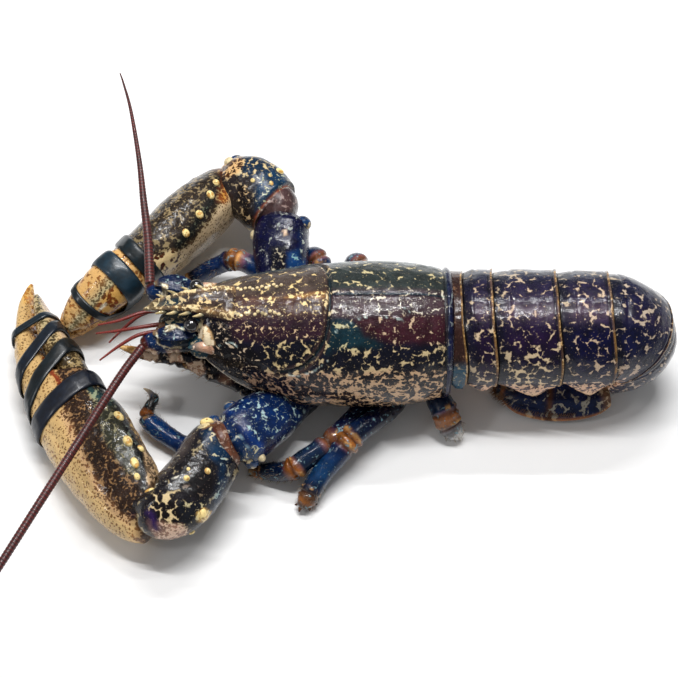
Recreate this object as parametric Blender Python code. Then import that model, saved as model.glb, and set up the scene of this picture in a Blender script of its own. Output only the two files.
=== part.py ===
"""A whole raw European lobster with banded claws, head at -X, tail curled under at +X, up is +Z."""

import math

import bmesh
import bpy
import numpy as np
from mathutils import Vector
from mathutils.bvhtree import BVHTree

# Driving dimensions, millimetres
MM = 0.001
GAP = 0.35
SHIFT = (2.3, 14.1, -0.1)
AROUND_LIMB = 12
AROUND_LEG = 8
BAND_THICK = 1.1
BAND_SIDES = 18

# Carapace rings: distance along the body, half width, half height, height of the middle
CARAPACE = (
    (46.6, 26.4, 27.6, 33.4),
    (44.9, 27.4, 28.4, 33.4),
    (43.4, 27.0, 28.0, 33.4),
    (39.5, 28.0, 29.0, 33.4),
    (32.0, 29.6, 30.1, 33.4),
    (22.0, 30.8, 30.8, 33.2),
    (11.0, 31.0, 31.1, 33.0),
    (2.0, 30.3, 30.9, 32.8),
    (-4.0, 29.6, 30.6, 32.6),
    (-9.0, 29.2, 30.3, 32.4),
    (-17.0, 28.2, 29.4, 32.2),
    (-25.0, 27.0, 28.2, 32.4),
    (-33.0, 25.4, 26.6, 33.2),
    (-41.0, 23.2, 24.4, 34.4),
    (-48.0, 20.6, 21.6, 36.0),
    (-53.5, 17.6, 18.4, 38.0),
    (-58.0, 14.0, 14.4, 39.6),
    (-63.0, 10.8, 11.0, 40.0),
    (-68.5, 8.6, 8.6, 39.6),
    (-73.0, 6.0, 6.0, 39.0),
)
CERVICAL_X = -4.0
CERVICAL_DEPTH = 1.3
REAR_RIM_X = 43.2

# Rostrum: x, y, z, half width, half height
ROSTRUM = (
    (-44.0, 0, 56.0, 9.0, 3.0),
    (-53.0, 0, 57.0, 7.2, 3.0),
    (-61.0, 0, 57.0, 5.2, 2.7),
    (-68.0, 0, 55.8, 3.8, 2.3),
    (-75.0, 0, 53.9, 2.4, 1.8),
    (-80.8, 0, 52.0, 0.6, 0.6),
)

# Abdomen: curl axis, dorsal radius by angle, half width by angle, segment ends
CURL_X = 112.0
CURL_Z = 24.0
DORSAL = (
    (-90, 37.0), (0, 36.7), (30, 35.5), (60, 34.7), (75, 33.2),
    (90, 30.2), (110, 26.8), (135, 24.2), (160, 23.6),
)
WIDTH = ((-95, 25.6), (-60, 26.0), (-30, 25.8), (0, 25.0), (40, 22.8), (80, 21.2), (120, 19.6), (160, 18.0))
SEGMENTS = ((47.0, 50.6), (50.9, 63.2), (63.5, 90.0), (90.3, 112.0), (112.3, 164.0), (164.6, 266.0))
PLEURON = ((0.0, 0.0), (0.12, 0.3), (0.3, 0.72), (0.5, 0.94), (0.63, 1.0), (0.74, 0.8), (0.86, 0.4), (1.0, 0.0))

# Claws: outer edge point, inner edge point, half thickness
LEFT_PALM = (
    ((-76.5, -85.1, 13.0), (-74.4, -67.3, 20.0), 7.0),
    ((-80.6, -87.0, 11.0), (-74.1, -63.3, 22.0), 9.3),
    ((-89.9, -84.0, 10.0), (-77.1, -54.6, 22.0), 10.8),
    ((-101.4, -74.3, 10.0), (-82.3, -45.2, 22.0), 12.0),
    ((-116.2, -56.4, 10.2), (-90.8, -30.1, 21.4), 12.4),
    ((-127.4, -36.8, 10.2), (-99.4, -20.6, 20.6), 11.8),
    ((-134.9, -18.4, 10.2), (-107.0, -10.6, 19.6), 11.0),
    ((-139.4, -3.2, 10.2), (-119.1, -10.6, 17.4), 9.8),
    ((-141.2, 5.6, 10.0), (-129.8, 2.9, 13.4), 8.8),
    ((-141.2, 13.6, 9.8), (-133.6, 12.3, 12.4), 7.8),
    ((-141.9, 23.2, 9.4), (-135.7, 21.1, 11.8), 6.4),
    ((-141.0, 31.5, 9.4), (-137.4, 30.0, 11.2), 4.5),
    ((-139.8, 37.5, 9.6), (-138.2, 36.9, 10.6), 2.5),
    ((-139.2, 40.8, 9.6), (-138.4, 40.5, 10.0), 0.7),
)
LEFT_DACTYL = (
    ((-120.0, -11.4, 14.6), (-108.0, -9.3, 18.4), 7.0),
    ((-122.8, -7.2, 14.2), (-110.0, -6.0, 18.8), 8.6),
    ((-127.6, 2.0, 13.8), (-113.5, 0.0, 18.7), 8.8),
    ((-131.3, 10.9, 13.2), (-119.2, 8.6, 17.7), 7.8),
    ((-133.6, 19.5, 12.6), (-124.2, 16.8, 16.2), 6.4),
    ((-134.9, 26.3, 12.3), (-129.4, 24.6, 14.7), 4.8),
    ((-135.7, 31.2, 12.2), (-132.6, 30.4, 13.6), 3.0),
    ((-135.6, 33.8, 12.2), (-134.6, 33.6, 12.6), 0.8),
)
# Claws seen on edge: middle point, reach to the outer edge, reach to the inner edge, half thickness
RIGHT_PALM = (
    ((-50.0, 83.7, 22.3), 8.5, 9.4, 8.6),
    ((-53.8, 83.6, 21.9), 12.5, 12.9, 11.4),
    ((-58.6, 78.5, 21.5), 15.7, 16.4, 13.4),
    ((-65.5, 70.7, 21.3), 17.9, 18.6, 14.3),
    ((-73.3, 62.3, 20.9), 18.7, 19.6, 14.3),
    ((-84.5, 49.7, 20.3), 18.3, 19.4, 13.2),
    ((-92.8, 42.0, 19.7), 17.3, 17.6, 12.0),
    ((-98.8, 36.7, 18.7), 16.3, 1.4, 11.2),
    ((-105.6, 30.7, 16.9), 14.3, 0.4, 10.2),
    ((-113.1, 24.0, 14.1), 11.3, 0.4, 8.6),
    ((-118.2, 18.5, 11.5), 8.7, -1.1, 6.2),
    ((-121.8, 12.9, 9.7), 6.7, -2.8, 2.0),
)
RIGHT_DACTYL = (
    ((-91.9, 42.6, 19.9), -2.2, 16.7, 9.4),
    ((-97.4, 37.5, 19.1), -1.2, 17.6, 11.4),
    ((-105.6, 30.7, 16.9), -0.4, 16.2, 10.6),
    ((-113.1, 24.0, 14.1), -0.4, 12.8, 8.6),
    ((-117.8, 19.1, 11.7), -0.8, 9.6, 6.0),
    ((-119.9, 16.0, 10.5), -2.4, 6.4, 2.0),
)
RIGHT_SIDE = (0.228, -0.341, 0.912)
LEFT_SIDE = (0.67, -0.63, -0.39)

# Arms and legs: x, y, z, half width, half thickness
LEFT_MERUS = (
    (-12.8, -12.0, 12.0, 6.5, 5.5),
    (-20.9, -22.6, 15.0, 9.5, 7.5),
    (-26.2, -29.2, 18.0, 11.5, 9.0),
    (-32.3, -35.7, 21.0, 12.4, 10.0),
    (-37.9, -41.5, 23.0, 12.8, 10.5),
    (-41.0, -44.9, 24.0, 12.4, 10.2),
    (-42.7, -46.3, 24.0, 10.5, 8.5),
)
LEFT_CARPUS = (
    (-42.6, -49.3, 22.5, 7.0, 6.0),
    (-45.9, -49.7, 22.5, 10.5, 8.5),
    (-48.3, -50.5, 23.0, 12.5, 10.5),
    (-51.4, -52.2, 23.2, 13.0, 11.2),
    (-55.2, -59.0, 23.8, 13.4, 12.0),
    (-59.1, -66.5, 24.2, 13.4, 12.0),
    (-63.8, -73.1, 24.2, 13.6, 11.6),
    (-68.4, -77.0, 24.2, 13.2, 11.0),
    (-74.1, -78.3, 24.4, 11.0, 9.5),
    (-78.8, -76.9, 24.8, 6.6, 6.4),
    (-82.4, -75.9, 25.0, 2.0, 2.0),
)
RIGHT_MERUS = (
    (-19.0, 12.0, 12.0, 6.5, 5.5),
    (-22.7, 29.9, 17.0, 9.5, 8.0),
    (-24.9, 38.8, 20.5, 11.5, 9.5),
    (-25.9, 47.2, 24.0, 12.4, 10.5),
    (-26.0, 54.0, 26.0, 12.6, 10.5),
    (-25.1, 58.8, 27.0, 11.8, 10.0),
    (-24.7, 61.0, 27.0, 10.0, 8.5),
)
RIGHT_CARPUS = (
    (-25.7, 64.9, 27.0, 7.0, 7.0),
    (-28.0, 68.9, 27.0, 11.5, 9.5),
    (-31.3, 72.2, 27.0, 14.2, 11.5),
    (-36.0, 78.2, 27.0, 15.2, 12.5),
    (-40.7, 82.5, 27.0, 15.0, 12.5),
    (-45.4, 85.5, 26.8, 13.6, 12.0),
    (-49.6, 88.2, 26.4, 11.0, 10.0),
    (-52.9, 90.2, 26.2, 6.5, 6.5),
    (-55.1, 91.4, 26.0, 1.8, 1.8),
)
LEGS = {
    "leg_left_1": (
        (-7.4, -9.9, 11.0, 4.2), (-11.2, -18.9, 12.0, 4.4),
        (-23.0, -30.7, 12.0, 4.6), (-31.9, -38.5, 9.2, 4.1),
        (-40.3, -43.3, 6.6, 3.8), (-52.7, -44.0, 5.4, 3.8),
        (-63.5, -40.7, 5.4, 4.0), (-72.8, -35.0, 6.0, 4.2),
        (-80.3, -29.4, 7.0, 4.2), (-82.6, -25.7, 8.2, 3.2),
        (-81.4, -21.7, 9.0, 2.4), (-79.5, -18.0, 9.6, 1.7),
        (-82.6, -14.8, 9.6, 0.8),
    ),
    "leg_left_2": (
        (15.1, -12.4, 11.0, 4.2), (9.8, -24.6, 12.5, 4.3),
        (2.5, -35.0, 14.5, 4.3), (-6.7, -44.0, 14.0, 4.2),
        (-15.1, -49.9, 12.0, 4.5), (-18.4, -52.1, 10.5, 5.0),
        (-22.7, -52.5, 8.0, 4.2), (-29.2, -51.2, 5.2, 3.7),
        (-33.5, -50.6, 3.8, 2.9), (-37.8, -50.0, 2.6, 1.4),
    ),
    "leg_left_3": (
        (28.1, -12.0, 11.0, 4.4), (23.6, -23.0, 13.0, 4.5),
        (16.1, -30.9, 15.0, 4.7), (8.9, -37.2, 16.0, 4.7),
        (4.2, -41.5, 15.0, 5.4), (0.0, -46.1, 13.0, 5.0),
        (-5.5, -52.1, 10.0, 4.6), (-10.5, -59.0, 7.0, 4.4),
        (-13.4, -64.0, 4.8, 4.2), (-15.1, -66.5, 3.6, 2.8),
    ),
    "leg_left_4": (
        (40.0, -10.6, 14.0, 4.6), (42.4, -20.6, 14.0, 5.2),
        (44.9, -25.6, 12.5, 5.5), (46.3, -28.3, 9.5, 5.5),
        (48.5, -31.3, 6.2, 4.8), (51.4, -33.1, 4.0, 2.8),
    ),
    "leg_right_1": (
        (-8.0, 13.0, 12.0, 4.2), (-15.6, 27.2, 13.0, 4.2),
        (-26.0, 36.5, 15.0, 4.2), (-34.0, 42.0, 18.0, 4.3),
        (-42.5, 46.4, 19.8, 4.4), (-47.2, 48.2, 19.0, 4.7),
        (-52.9, 48.6, 15.0, 4.2), (-60.4, 47.9, 10.5, 3.8),
        (-66.1, 46.9, 7.0, 3.2), (-70.8, 45.1, 4.0, 2.3), (-73.2, 44.1, 2.4, 1.1),
    ),
    "leg_right_2": (
        (1.0, 13.0, 12.0, 4.2), (-1.3, 26.8, 12.0, 4.2), (-5.8, 39.5, 17.5, 4.3), (-9.0, 47.2, 19.8, 4.4),
        (-11.7, 50.8, 18.0, 4.4), (-13.6, 52.3, 13.0, 4.0),
        (-14.7, 52.4, 7.0, 3.2), (-15.4, 52.6, 3.0, 1.6),
    ),
    "leg_right_3": (
        (17.0, 13.0, 12.0, 4.2), (14.7, 26.8, 12.0, 4.2), (11.6, 38.4, 16.5, 4.3), (9.4, 46.0, 18.0, 4.4),
        (7.2, 49.2, 15.6, 4.3), (5.9, 50.4, 11.0, 3.8), (5.0, 51.3, 6.5, 3.0), (4.6, 51.8, 3.0, 1.5),
    ),
    "leg_right_4": (
        (41.8, 11.0, 14.0, 4.6), (43.7, 20.1, 14.0, 5.0), (45.8, 25.1, 12.5, 5.2), (47.1, 28.3, 9.5, 5.0),
        (48.5, 30.8, 6.0, 4.2), (51.2, 32.6, 3.0, 1.8),
    ),
}
MAXILLIPED_LEFT = (
    (-26.0, -15.0, 11.5, 3.8),
    (-36.5, -16.2, 15.0, 4.4),
    (-43.2, -14.6, 19.5, 4.8),
    (-52.3, -12.9, 25.0, 5.2),
    (-62.2, -10.9, 30.3, 4.9),
    (-71.2, -10.6, 33.6, 4.2),
    (-78.0, -11.5, 35.6, 3.4),
    (-84.1, -11.7, 37.2, 2.3),
    (-91.7, -9.7, 38.2, 0.7),
)
MAXILLIPED_RIGHT = (
    (-26.0, 15.0, 11.5, 3.8),
    (-36.5, 16.2, 15.0, 4.4),
    (-43.2, 14.6, 19.5, 4.8),
    (-52.3, 12.9, 23.5, 5.2),
    (-61.0, 10.9, 26.5, 4.9),
    (-68.0, 9.6, 28.0, 4.0),
    (-73.5, 8.4, 27.0, 3.1),
    (-77.0, 7.0, 24.5, 2.2),
    (-78.8, 5.4, 21.5, 0.8),
)
PEDUNCLE_LEFT = (
    (-60.0, -6.5, 41.0, 5.6), (-68.4, -9.3, 42.6, 5.2),
    (-73.4, -10.6, 42.8, 4.4), (-75.5, -10.6, 42.8, 4.9),
    (-78.6, -10.6, 42.8, 4.3), (-81.0, -11.4, 42.8, 2.8),
)
PEDUNCLE_RIGHT = (
    (-60.0, 8.0, 43.0, 5.6), (-67.9, 11.6, 46.0, 5.2), (-72.9, 11.7, 47.0, 4.4), (-75.2, 11.7, 47.4, 4.8),
    (-78.0, 12.0, 48.0, 4.0), (-79.3, 13.6, 48.4, 2.8),
)
FLAGELLUM_LEFT = (
    (-81.6, -12.7, 43.0, 1.9), (-89.8, -27.7, 43.6, 1.85),
    (-103.2, -57.6, 45.4, 1.8), (-116.1, -85.4, 46.0, 1.75),
    (-127.6, -109.8, 46.0, 1.7), (-135.0, -124.7, 45.4, 1.4),
    (-142.0, -138.0, 44.4, 0.95), (-147.6, -148.0, 43.4, 0.4),
)
FLAGELLUM_RIGHT = (
    (-79.7, 15.0, 48.7, 2.2), (-81.4, 34.6, 53.0, 1.95), (-84.1, 52.9, 57.0, 1.6), (-87.0, 72.4, 60.0, 1.2),
    (-92.2, 98.4, 62.0, 0.8), (-96.6, 114.0, 62.6, 0.5), (-98.6, 120.0, 62.6, 0.3),
)
ANTENNULES = {
    "antennule_left_upper": (
        (-72.5, -3.4, 46.4, 1.0), (-82.5, -6.0, 47.6, 0.8),
        (-91.8, -7.0, 46.4, 0.65), (-101.1, -7.4, 45.0, 0.35),
    ),
    "antennule_left_lower": (
        (-72.5, -5.6, 44.6, 1.0), (-82.7, -8.9, 46.4, 0.8),
        (-90.9, -13.3, 44.8, 0.65), (-98.8, -19.2, 43.0, 0.35),
    ),
    "antennule_right_upper": (
        (-72.5, 3.2, 46.4, 1.0), (-82.5, 0.4, 48.6, 0.8),
        (-91.8, -3.2, 48.2, 0.65), (-100.2, -4.6, 47.2, 0.35),
    ),
    "antennule_right_lower": (
        (-72.5, 5.6, 44.6, 1.0), (-82.0, 2.2, 45.2, 0.8),
        (-89.0, -2.4, 43.0, 0.65), (-96.0, -9.4, 41.0, 0.35),
    ),
}
EYES = {"eye_left": (-60.6, -9.2, 54.0), "eye_right": (-59.4, 9.6, 54.6)}
EYE_RADIUS = 3.1
SCALES = {
    "antennal_scale_left": (
        (-60.0, -8.8, 49.4), (-66.0, -10.2, 50.6),
        (-72.0, -10.6, 50.2), (-76.5, -10.0, 49.4),
    ),
    "antennal_scale_right": (
        (-60.0, 10.4, 51.0), (-66.5, 11.8, 53.6),
        (-72.5, 12.2, 54.2), (-77.0, 11.6, 53.6),
    ),
}

# Tail fan blades: x, y, z, half width, half thickness
TELSON = (
    (118.5, 0, 2.6, 9.0, 1.6), (109.5, 0, 2.0, 10.6, 1.7),
    (95.5, 0, 1.8, 9.8, 1.6), (81.5, 0, 1.8, 8.8, 1.5),
    (71.5, 0, 1.9, 7.0, 1.3), (67.5, 0, 2.0, 3.4, 0.9),
)
ENDOPOD = (
    (116.5, -10.0, 5.2, 4.6, 1.0), (109.5, -11.4, 4.9, 6.6, 1.1),
    (95.5, -11.6, 4.8, 8.2, 1.1), (81.5, -11.2, 4.8, 8.0, 1.1),
    (71.5, -10.0, 4.9, 5.6, 1.0), (67.9, -9.4, 5.0, 2.4, 0.7),
)
EXOPOD = (
    (116.1, -16.0, 8.2, 5.2, 1.3), (109.5, -17.2, 7.7, 7.8, 1.4),
    (99.5, -17.6, 7.4, 9.2, 1.3), (89.5, -17.2, 7.3, 9.4, 1.3),
    (79.5, -15.8, 7.5, 8.2, 1.2), (73.5, -14.2, 7.9, 5.4, 1.0), (70.9, -13.4, 8.2, 2.2, 0.7),
)
BLADE_SIDE = (0.0, 0.87, 0.42)

# Tubercles and teeth: point near the shell, radius
TUBERCLES = {
    "claw_left_palm": (
        (-90.3, -37.4, 31.0, 2.3), (-85.8, -49.7, 33.0, 2.6),
        (-79.6, -49.4, 24.0, 1.8), (-82.6, -61.0, 33.0, 2.4),
        (-83.2, -87.5, 10.0, 2.2),
    ),
    "claw_right_palm": (
        (-55.4, 78.0, 37.0, 2.2), (-57.6, 71.5, 39.0, 2.6),
        (-61.6, 62.0, 39.5, 2.6), (-67.3, 53.7, 39.5, 2.4),
    ),
    "carpus_left": (
        (-61.0, -65.4, 37.0, 1.6), (-61.2, -70.1, 37.0, 1.9),
        (-53.1, -64.0, 37.0, 1.8), (-54.3, -80.0, 20.0, 2.2),
        (-60.1, -88.1, 20.0, 1.5), (-53.6, -37.4, 24.0, 3.4),
    ),
    "carpus_right": (
        (-38.6, 75.8, 41.0, 1.7), (-31.2, 78.4, 39.0, 1.5),
        (-30.4, 74.1, 39.0, 1.8), (-44.3, 66.8, 24.0, 2.2),
        (-49.6, 101.4, 27.0, 3.4),
    ),
    "merus_left": (
        (-34.3, -51.3, 20.0, 2.4), (-46.0, -31.0, 25.0, 2.6),
        (-38.0, -53.0, 17.0, 3.2), (-40.4, -56.4, 17.0, 2.8),
    ),
    "merus_right": (
        (-14.4, 61.4, 31.0, 2.2), (-37.6, 56.8, 24.0, 2.2),
        (-20.6, 66.4, 28.0, 3.0), (-19.8, 71.4, 28.0, 2.6),
    ),
}

# Elastic bands: claw, middle point, direction across the claw, width
BANDS = {
    "band_left_1": ("left", (-134.3, 13.3, 13.0), (17.9, 11.3, 6.0), 4.0),
    "band_left_2": ("left", (-129.7, -2.6, 13.0), (16.6, 29.2, 8.0), 6.0),
    "band_left_3": ("left", (-122.7, -13.0, 13.5), (17.8, 31.3, 9.0), 7.0),
    "band_left_4": ("left", (-113.6, -26.0, 15.0), (24.7, 22.6, 11.0), 9.0),
    "band_right_1": ("right", (-107.5, 29.2, 16.3), (-0.30, -0.64, 0.70), 3.6),
    "band_right_2": ("right", (-99.5, 36.2, 18.5), (0.228, -0.341, 0.912), 9.4),
    "band_right_3": ("right", (-88.8, 45.6, 20.1), (0.10, -0.48, 0.87), 7.0),
}

COLOURS = {
    "carapace": ((0.055, 0.050, 0.075), 0.22),
    "abdomen": ((0.035, 0.032, 0.090), 0.22),
    "tail": ((0.030, 0.060, 0.130), 0.25),
    "claw": ((0.300, 0.230, 0.120), 0.30),
    "arm": ((0.030, 0.055, 0.120), 0.25),
    "leg": ((0.012, 0.060, 0.260), 0.25),
    "antenna": ((0.120, 0.012, 0.010), 0.35),
    "antennule": ((0.330, 0.030, 0.015), 0.35),
    "eye": ((0.006, 0.006, 0.008), 0.10),
    "mouth": ((0.060, 0.050, 0.070), 0.30),
    "band": ((0.012, 0.024, 0.045), 0.28),
}


def clear_scene():
    for item in list(bpy.data.objects):
        bpy.data.objects.remove(item, do_unlink=True)
    home = bpy.data.collections.new("raw_lobster")
    bpy.context.scene.collection.children.link(home)
    spare = bpy.data.collections.new("shapes_joined_in")
    bpy.context.scene.collection.children.link(spare)
    return home, spare


def paint(name):
    found = bpy.data.materials.get(name)
    if found:
        return found
    colour, rough = COLOURS[name]
    material = bpy.data.materials.new(name)
    material.use_nodes = True
    shader = material.node_tree.nodes["Principled BSDF"]
    shader.inputs["Base Color"].default_value = (*colour, 1.0)
    shader.inputs["Roughness"].default_value = rough
    shader.inputs["Metallic"].default_value = 0.0
    return material


def unit(v):
    return v / max(np.linalg.norm(v), 1e-9)


def smooth_rows(rows, per_span):
    """Points on a curve through every row, per_span of them to each span."""
    rows = np.asarray(rows, float)
    padded = np.vstack([2 * rows[0] - rows[1], rows, 2 * rows[-1] - rows[-2]])
    out = []
    for k in range(len(rows) - 1):
        a, b, c, d = padded[k : k + 4]
        for step in range(per_span):
            t = step / per_span
            square = (2 * a - 5 * b + 4 * c - d) * t**2
            cube = (3 * b - 3 * c + d - a) * t**3
            out.append(0.5 * (2 * b + (c - a) * t + square + cube))
    out.append(rows[-1])
    return np.array(out)


def skin(name, rings, home, colour, ends=(0.35, 0.35)):
    """A closed mesh over rings of equal length, with a point at each end."""
    rings = np.asarray(rings, float)
    count, around = rings.shape[:2]
    first, last = rings[0].mean(0), rings[-1].mean(0)
    reach = [np.linalg.norm(rings[k] - rings[k].mean(0), axis=1).mean() for k in (0, -1)]
    first = first + ends[0] * reach[0] * unit(first - rings[1].mean(0))
    last = last + ends[1] * reach[1] * unit(last - rings[-2].mean(0))
    points = np.vstack([rings.reshape(-1, 3), first, last]) * MM
    faces = []
    for i in range(count - 1):
        for j in range(around):
            k = (j + 1) % around
            faces.append((i * around + j, i * around + k, (i + 1) * around + k, (i + 1) * around + j))
    for j in range(around):
        k = (j + 1) % around
        faces.append((count * around, k, j))
        faces.append((count * around + 1, (count - 1) * around + j, (count - 1) * around + k))
    mesh = bpy.data.meshes.new(name)
    mesh.from_pydata([tuple(p) for p in points], [], faces)
    work = bmesh.new()
    work.from_mesh(mesh)
    bmesh.ops.recalc_face_normals(work, faces=work.faces)
    if work.calc_volume(signed=True) < 0:
        bmesh.ops.reverse_faces(work, faces=work.faces)
    work.to_mesh(mesh)
    work.free()
    mesh.materials.append(paint(colour))
    shape = bpy.data.objects.new(name, mesh)
    home.objects.link(shape)
    return shape


def oval(around, power):
    angle = np.arange(around) * 2 * math.pi / around
    c, s = np.cos(angle), np.sin(angle)
    return np.sign(c) * abs(c) ** (2 / power), np.sign(s) * abs(s) ** (2 / power)


def limb_rings(rows, side, around, per_span, power=2.2):
    """Rings along x, y, z, half width, half thickness rows; the width runs along side."""
    rows = [row if len(row) == 5 else (*row, row[3]) for row in rows]
    line = smooth_rows(rows, per_span)
    centre = line[:, :3]
    ahead = np.gradient(centre, axis=0)
    c, s = oval(around, power)
    rings = []
    for p, t, (wide, thick) in zip(centre, ahead, np.maximum(line[:, 3:5], 0.2)):
        t = unit(t)
        w = unit(np.asarray(side, float) - np.dot(side, t) * t)
        n = np.cross(t, w)
        rings.append(p + wide * c[:, None] * w + thick * s[:, None] * n)
    return rings


def claw_rings(rows, around, per_span, power=2.3):
    """Rings between an outer and an inner edge line."""
    flat = [(*outer, *inner, thick) for outer, inner, thick in rows]
    line = smooth_rows(flat, per_span)
    centre = (line[:, :3] + line[:, 3:6]) / 2
    ahead = np.gradient(centre, axis=0)
    c, s = oval(around, power)
    rings = []
    for row, p, t in zip(line, centre, ahead):
        half = (row[3:6] - row[:3]) / 2
        n = unit(np.cross(unit(t), unit(half)))
        rings.append(p + c[:, None] * half + max(row[6], 0.3) * s[:, None] * n)
    return rings


def edge_claw_rows(rows):
    """Outer and inner edge points of a claw given by middle points and reaches."""
    side = np.array(RIGHT_SIDE)
    out = []
    for middle, outer, inner, thick in rows:
        middle = np.array(middle)
        out.append((tuple(middle - side * outer), tuple(middle + side * inner), thick))
    return out


def carapace_profile(edge):
    """Half section, top to underside, in units of the half height; edge is the angle of the rim."""
    points = [(math.sin(edge * i / 12), math.cos(edge * i / 12)) for i in range(13)]
    y, z = points[-1]
    points.append((y * 0.93, z - 0.015))
    points.append((y * 0.86, z + 0.01))
    points.append(((y * 0.84 + 0.52) / 2, (z + 0.02 - 0.78) / 2 - 0.02))
    points.append((0.50, -0.77))
    points.append((0.30, -0.80))
    points.append((0.0, -0.80))
    return np.array(points)


def carapace_rings():
    rings = []
    for x, wide, high, middle in CARAPACE:
        edge = math.radians(np.interp(x, (-58, -48, -27, -12), (88, 96, 120, 131)))
        half = carapace_profile(edge)
        loop = np.vstack([half, half[-2:0:-1] * (-1, 1)])
        angle = np.degrees(np.arctan2(abs(loop[:, 0]), loop[:, 1]))
        ahead = np.clip((angle - 35) / 65, 0, 1)
        ahead = 13 * ahead * ahead * (3 - 2 * ahead)
        near = math.exp(-(((x - CERVICAL_X) / 13) ** 2))
        depth = CERVICAL_DEPTH if x == CERVICAL_X else 0.0
        shrink = 1 - depth * np.clip((112 - angle) / 12, 0, 1) / wide
        y, z = wide * shrink * loop[:, 0], middle + high * shrink * loop[:, 1]
        rings.append(np.column_stack([x - ahead * near, y, z]))
    return rings


def tail_plane(along):
    """Origin, outward direction and curl angle at a distance along the tail."""
    if along <= CURL_X:
        return np.array([along, 0, CURL_Z]), np.array([0, 0, 1.0]), along - CURL_X
    angle = along - CURL_X
    turn = math.radians(angle)
    return np.array([CURL_X, 0, CURL_Z]), np.array([math.sin(turn), 0, math.cos(turn)]), angle


def table(rows, at):
    return float(np.interp(at, [row[0] for row in rows], [row[1] for row in rows]))


def tail_rings(start, end, count, first):
    rings = []
    for i in range(count):
        u = i / (count - 1)
        origin, out, angle = tail_plane(start + (end - start) * u)
        radius = table(DORSAL, angle)
        wide = table(WIDTH, angle)
        tuck = 0.955 + 0.045 * min(1.0, u * 3.2) if not first else 0.97
        tuck += 0.012 * math.exp(-(((u - 1) / 0.12) ** 2))
        radius *= tuck
        wide *= tuck
        waist = 0.34 * radius
        belly = 0.235 * radius
        reach = table(PLEURON, u if end < 120 else min(1.0, u * 2.0))
        deep = reach * (0.45 if first or end < 70 else 1.0) * (1.0 if end < 190 else 0.25)
        tip = belly - 1.2 - deep * (belly - 1.2 - (-1.6 if angle <= 0 else 2.2))
        arc = np.linspace(0, math.pi / 2, 9)
        half = [(wide * math.sin(a), waist + (radius - waist) * math.cos(a)) for a in arc]
        half.append((wide * 0.995, waist + (tip - waist) * 0.5))
        half.append((wide * 0.965, tip + 0.4))
        half.append((wide * 0.92, tip))
        half.append((wide * 0.875, tip + 0.6))
        half.append((wide * 0.82, belly * 0.7 + tip * 0.3))
        half.append((wide * 0.66, belly))
        half.append((wide * 0.33, belly - 0.3))
        half.append((0.0, belly - 0.4))
        half = np.array(half)
        loop = np.vstack([half, half[-2:0:-1] * (-1, 1)])
        rings.append(origin + loop[:, :1] * np.array([0, 1.0, 0]) + loop[:, 1:] * out)
    return rings


def ball(name, at, radius, spare, parts):
    place, rows = [v * MM for v in at], max(4, parts // 2)
    bpy.ops.mesh.primitive_uv_sphere_add(segments=parts, ring_count=rows, radius=radius * MM, location=place)
    shape = bpy.context.active_object
    shape.name = name
    for owner in list(shape.users_collection):
        owner.objects.unlink(shape)
    spare.objects.link(shape)
    return shape


def spike(name, base, tip, radius, spare, parts=5):
    base, tip = Vector(base), Vector(tip)
    middle = (base + tip) / 2 * MM
    wide, fine, long = radius * MM, 0.12 * radius * MM, (tip - base).length * MM
    bpy.ops.mesh.primitive_cone_add(vertices=parts, radius1=wide, radius2=fine, depth=long, location=middle)
    shape = bpy.context.active_object
    shape.name = name
    shape.rotation_mode = "QUATERNION"
    shape.rotation_quaternion = (tip - base).to_track_quat("Z", "Y")
    for owner in list(shape.users_collection):
        owner.objects.unlink(shape)
    spare.objects.link(shape)
    return shape


def largest_piece(mesh):
    """Keeps the biggest of the separate bodies that a cut leaves."""
    work = bmesh.new()
    work.from_mesh(mesh)
    work.faces.ensure_lookup_table()
    seen, best, most = set(), [], -1.0
    for face in work.faces:
        if face.index in seen:
            continue
        island, queue = [], [face]
        seen.add(face.index)
        while queue:
            item = queue.pop()
            island.append(item)
            for edge in item.edges:
                for other in edge.link_faces:
                    if other.index not in seen:
                        seen.add(other.index)
                        queue.append(other)
        size = sum(item.calc_area() for item in island)
        if size > most:
            best, most = island, size
    keep = {item.index for item in best}
    bmesh.ops.delete(work, geom=[f for f in work.faces if f.index not in keep], context="FACES")
    work.to_mesh(mesh)
    work.free()


def apply_boolean(shape, operation, other=None, group=None):
    step = shape.modifiers.new("joint", "BOOLEAN")
    step.operation = operation
    step.solver = "EXACT"
    if group:
        step.operand_type = "COLLECTION"
        step.collection = group
    else:
        step.object = other
    bpy.context.view_layer.update()
    graph = bpy.context.evaluated_depsgraph_get()
    mesh = bpy.data.meshes.new_from_object(shape.evaluated_get(graph))
    shape.modifiers.clear()
    shape.data = mesh
    largest_piece(shape.data)


def join_in(shape, spare):
    """One union of the shape with all that the spare collection holds."""
    if spare.objects:
        apply_boolean(shape, "UNION", group=spare)
    for item in list(spare.objects):
        bpy.data.objects.remove(item, do_unlink=True)


def world_tree(shape):
    bpy.context.view_layer.update()
    matrix = shape.matrix_world
    points = [matrix @ v.co for v in shape.data.vertices]
    faces = [tuple(p.vertices) for p in shape.data.polygons]
    return BVHTree.FromPolygons(points, faces)


def on_skin(shape, near):
    found = world_tree(shape).find_nearest(Vector(near) * MM)
    return found[0] / MM, found[1]


def add_tubercles(shape, rows, spare):
    for k, (x, y, z, radius) in enumerate(rows):
        place, out = on_skin(shape, (x, y, z))
        bump = ball(f"bump{k}", place + out * 0.2 * radius, radius, spare, 6 if radius < 3 else 8)
        bump.rotation_mode = "QUATERNION"
        bump.rotation_quaternion = out.to_track_quat("Z", "Y")
        bump.scale = (1.0, 1.0, 0.9)
    join_in(shape, spare)


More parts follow.
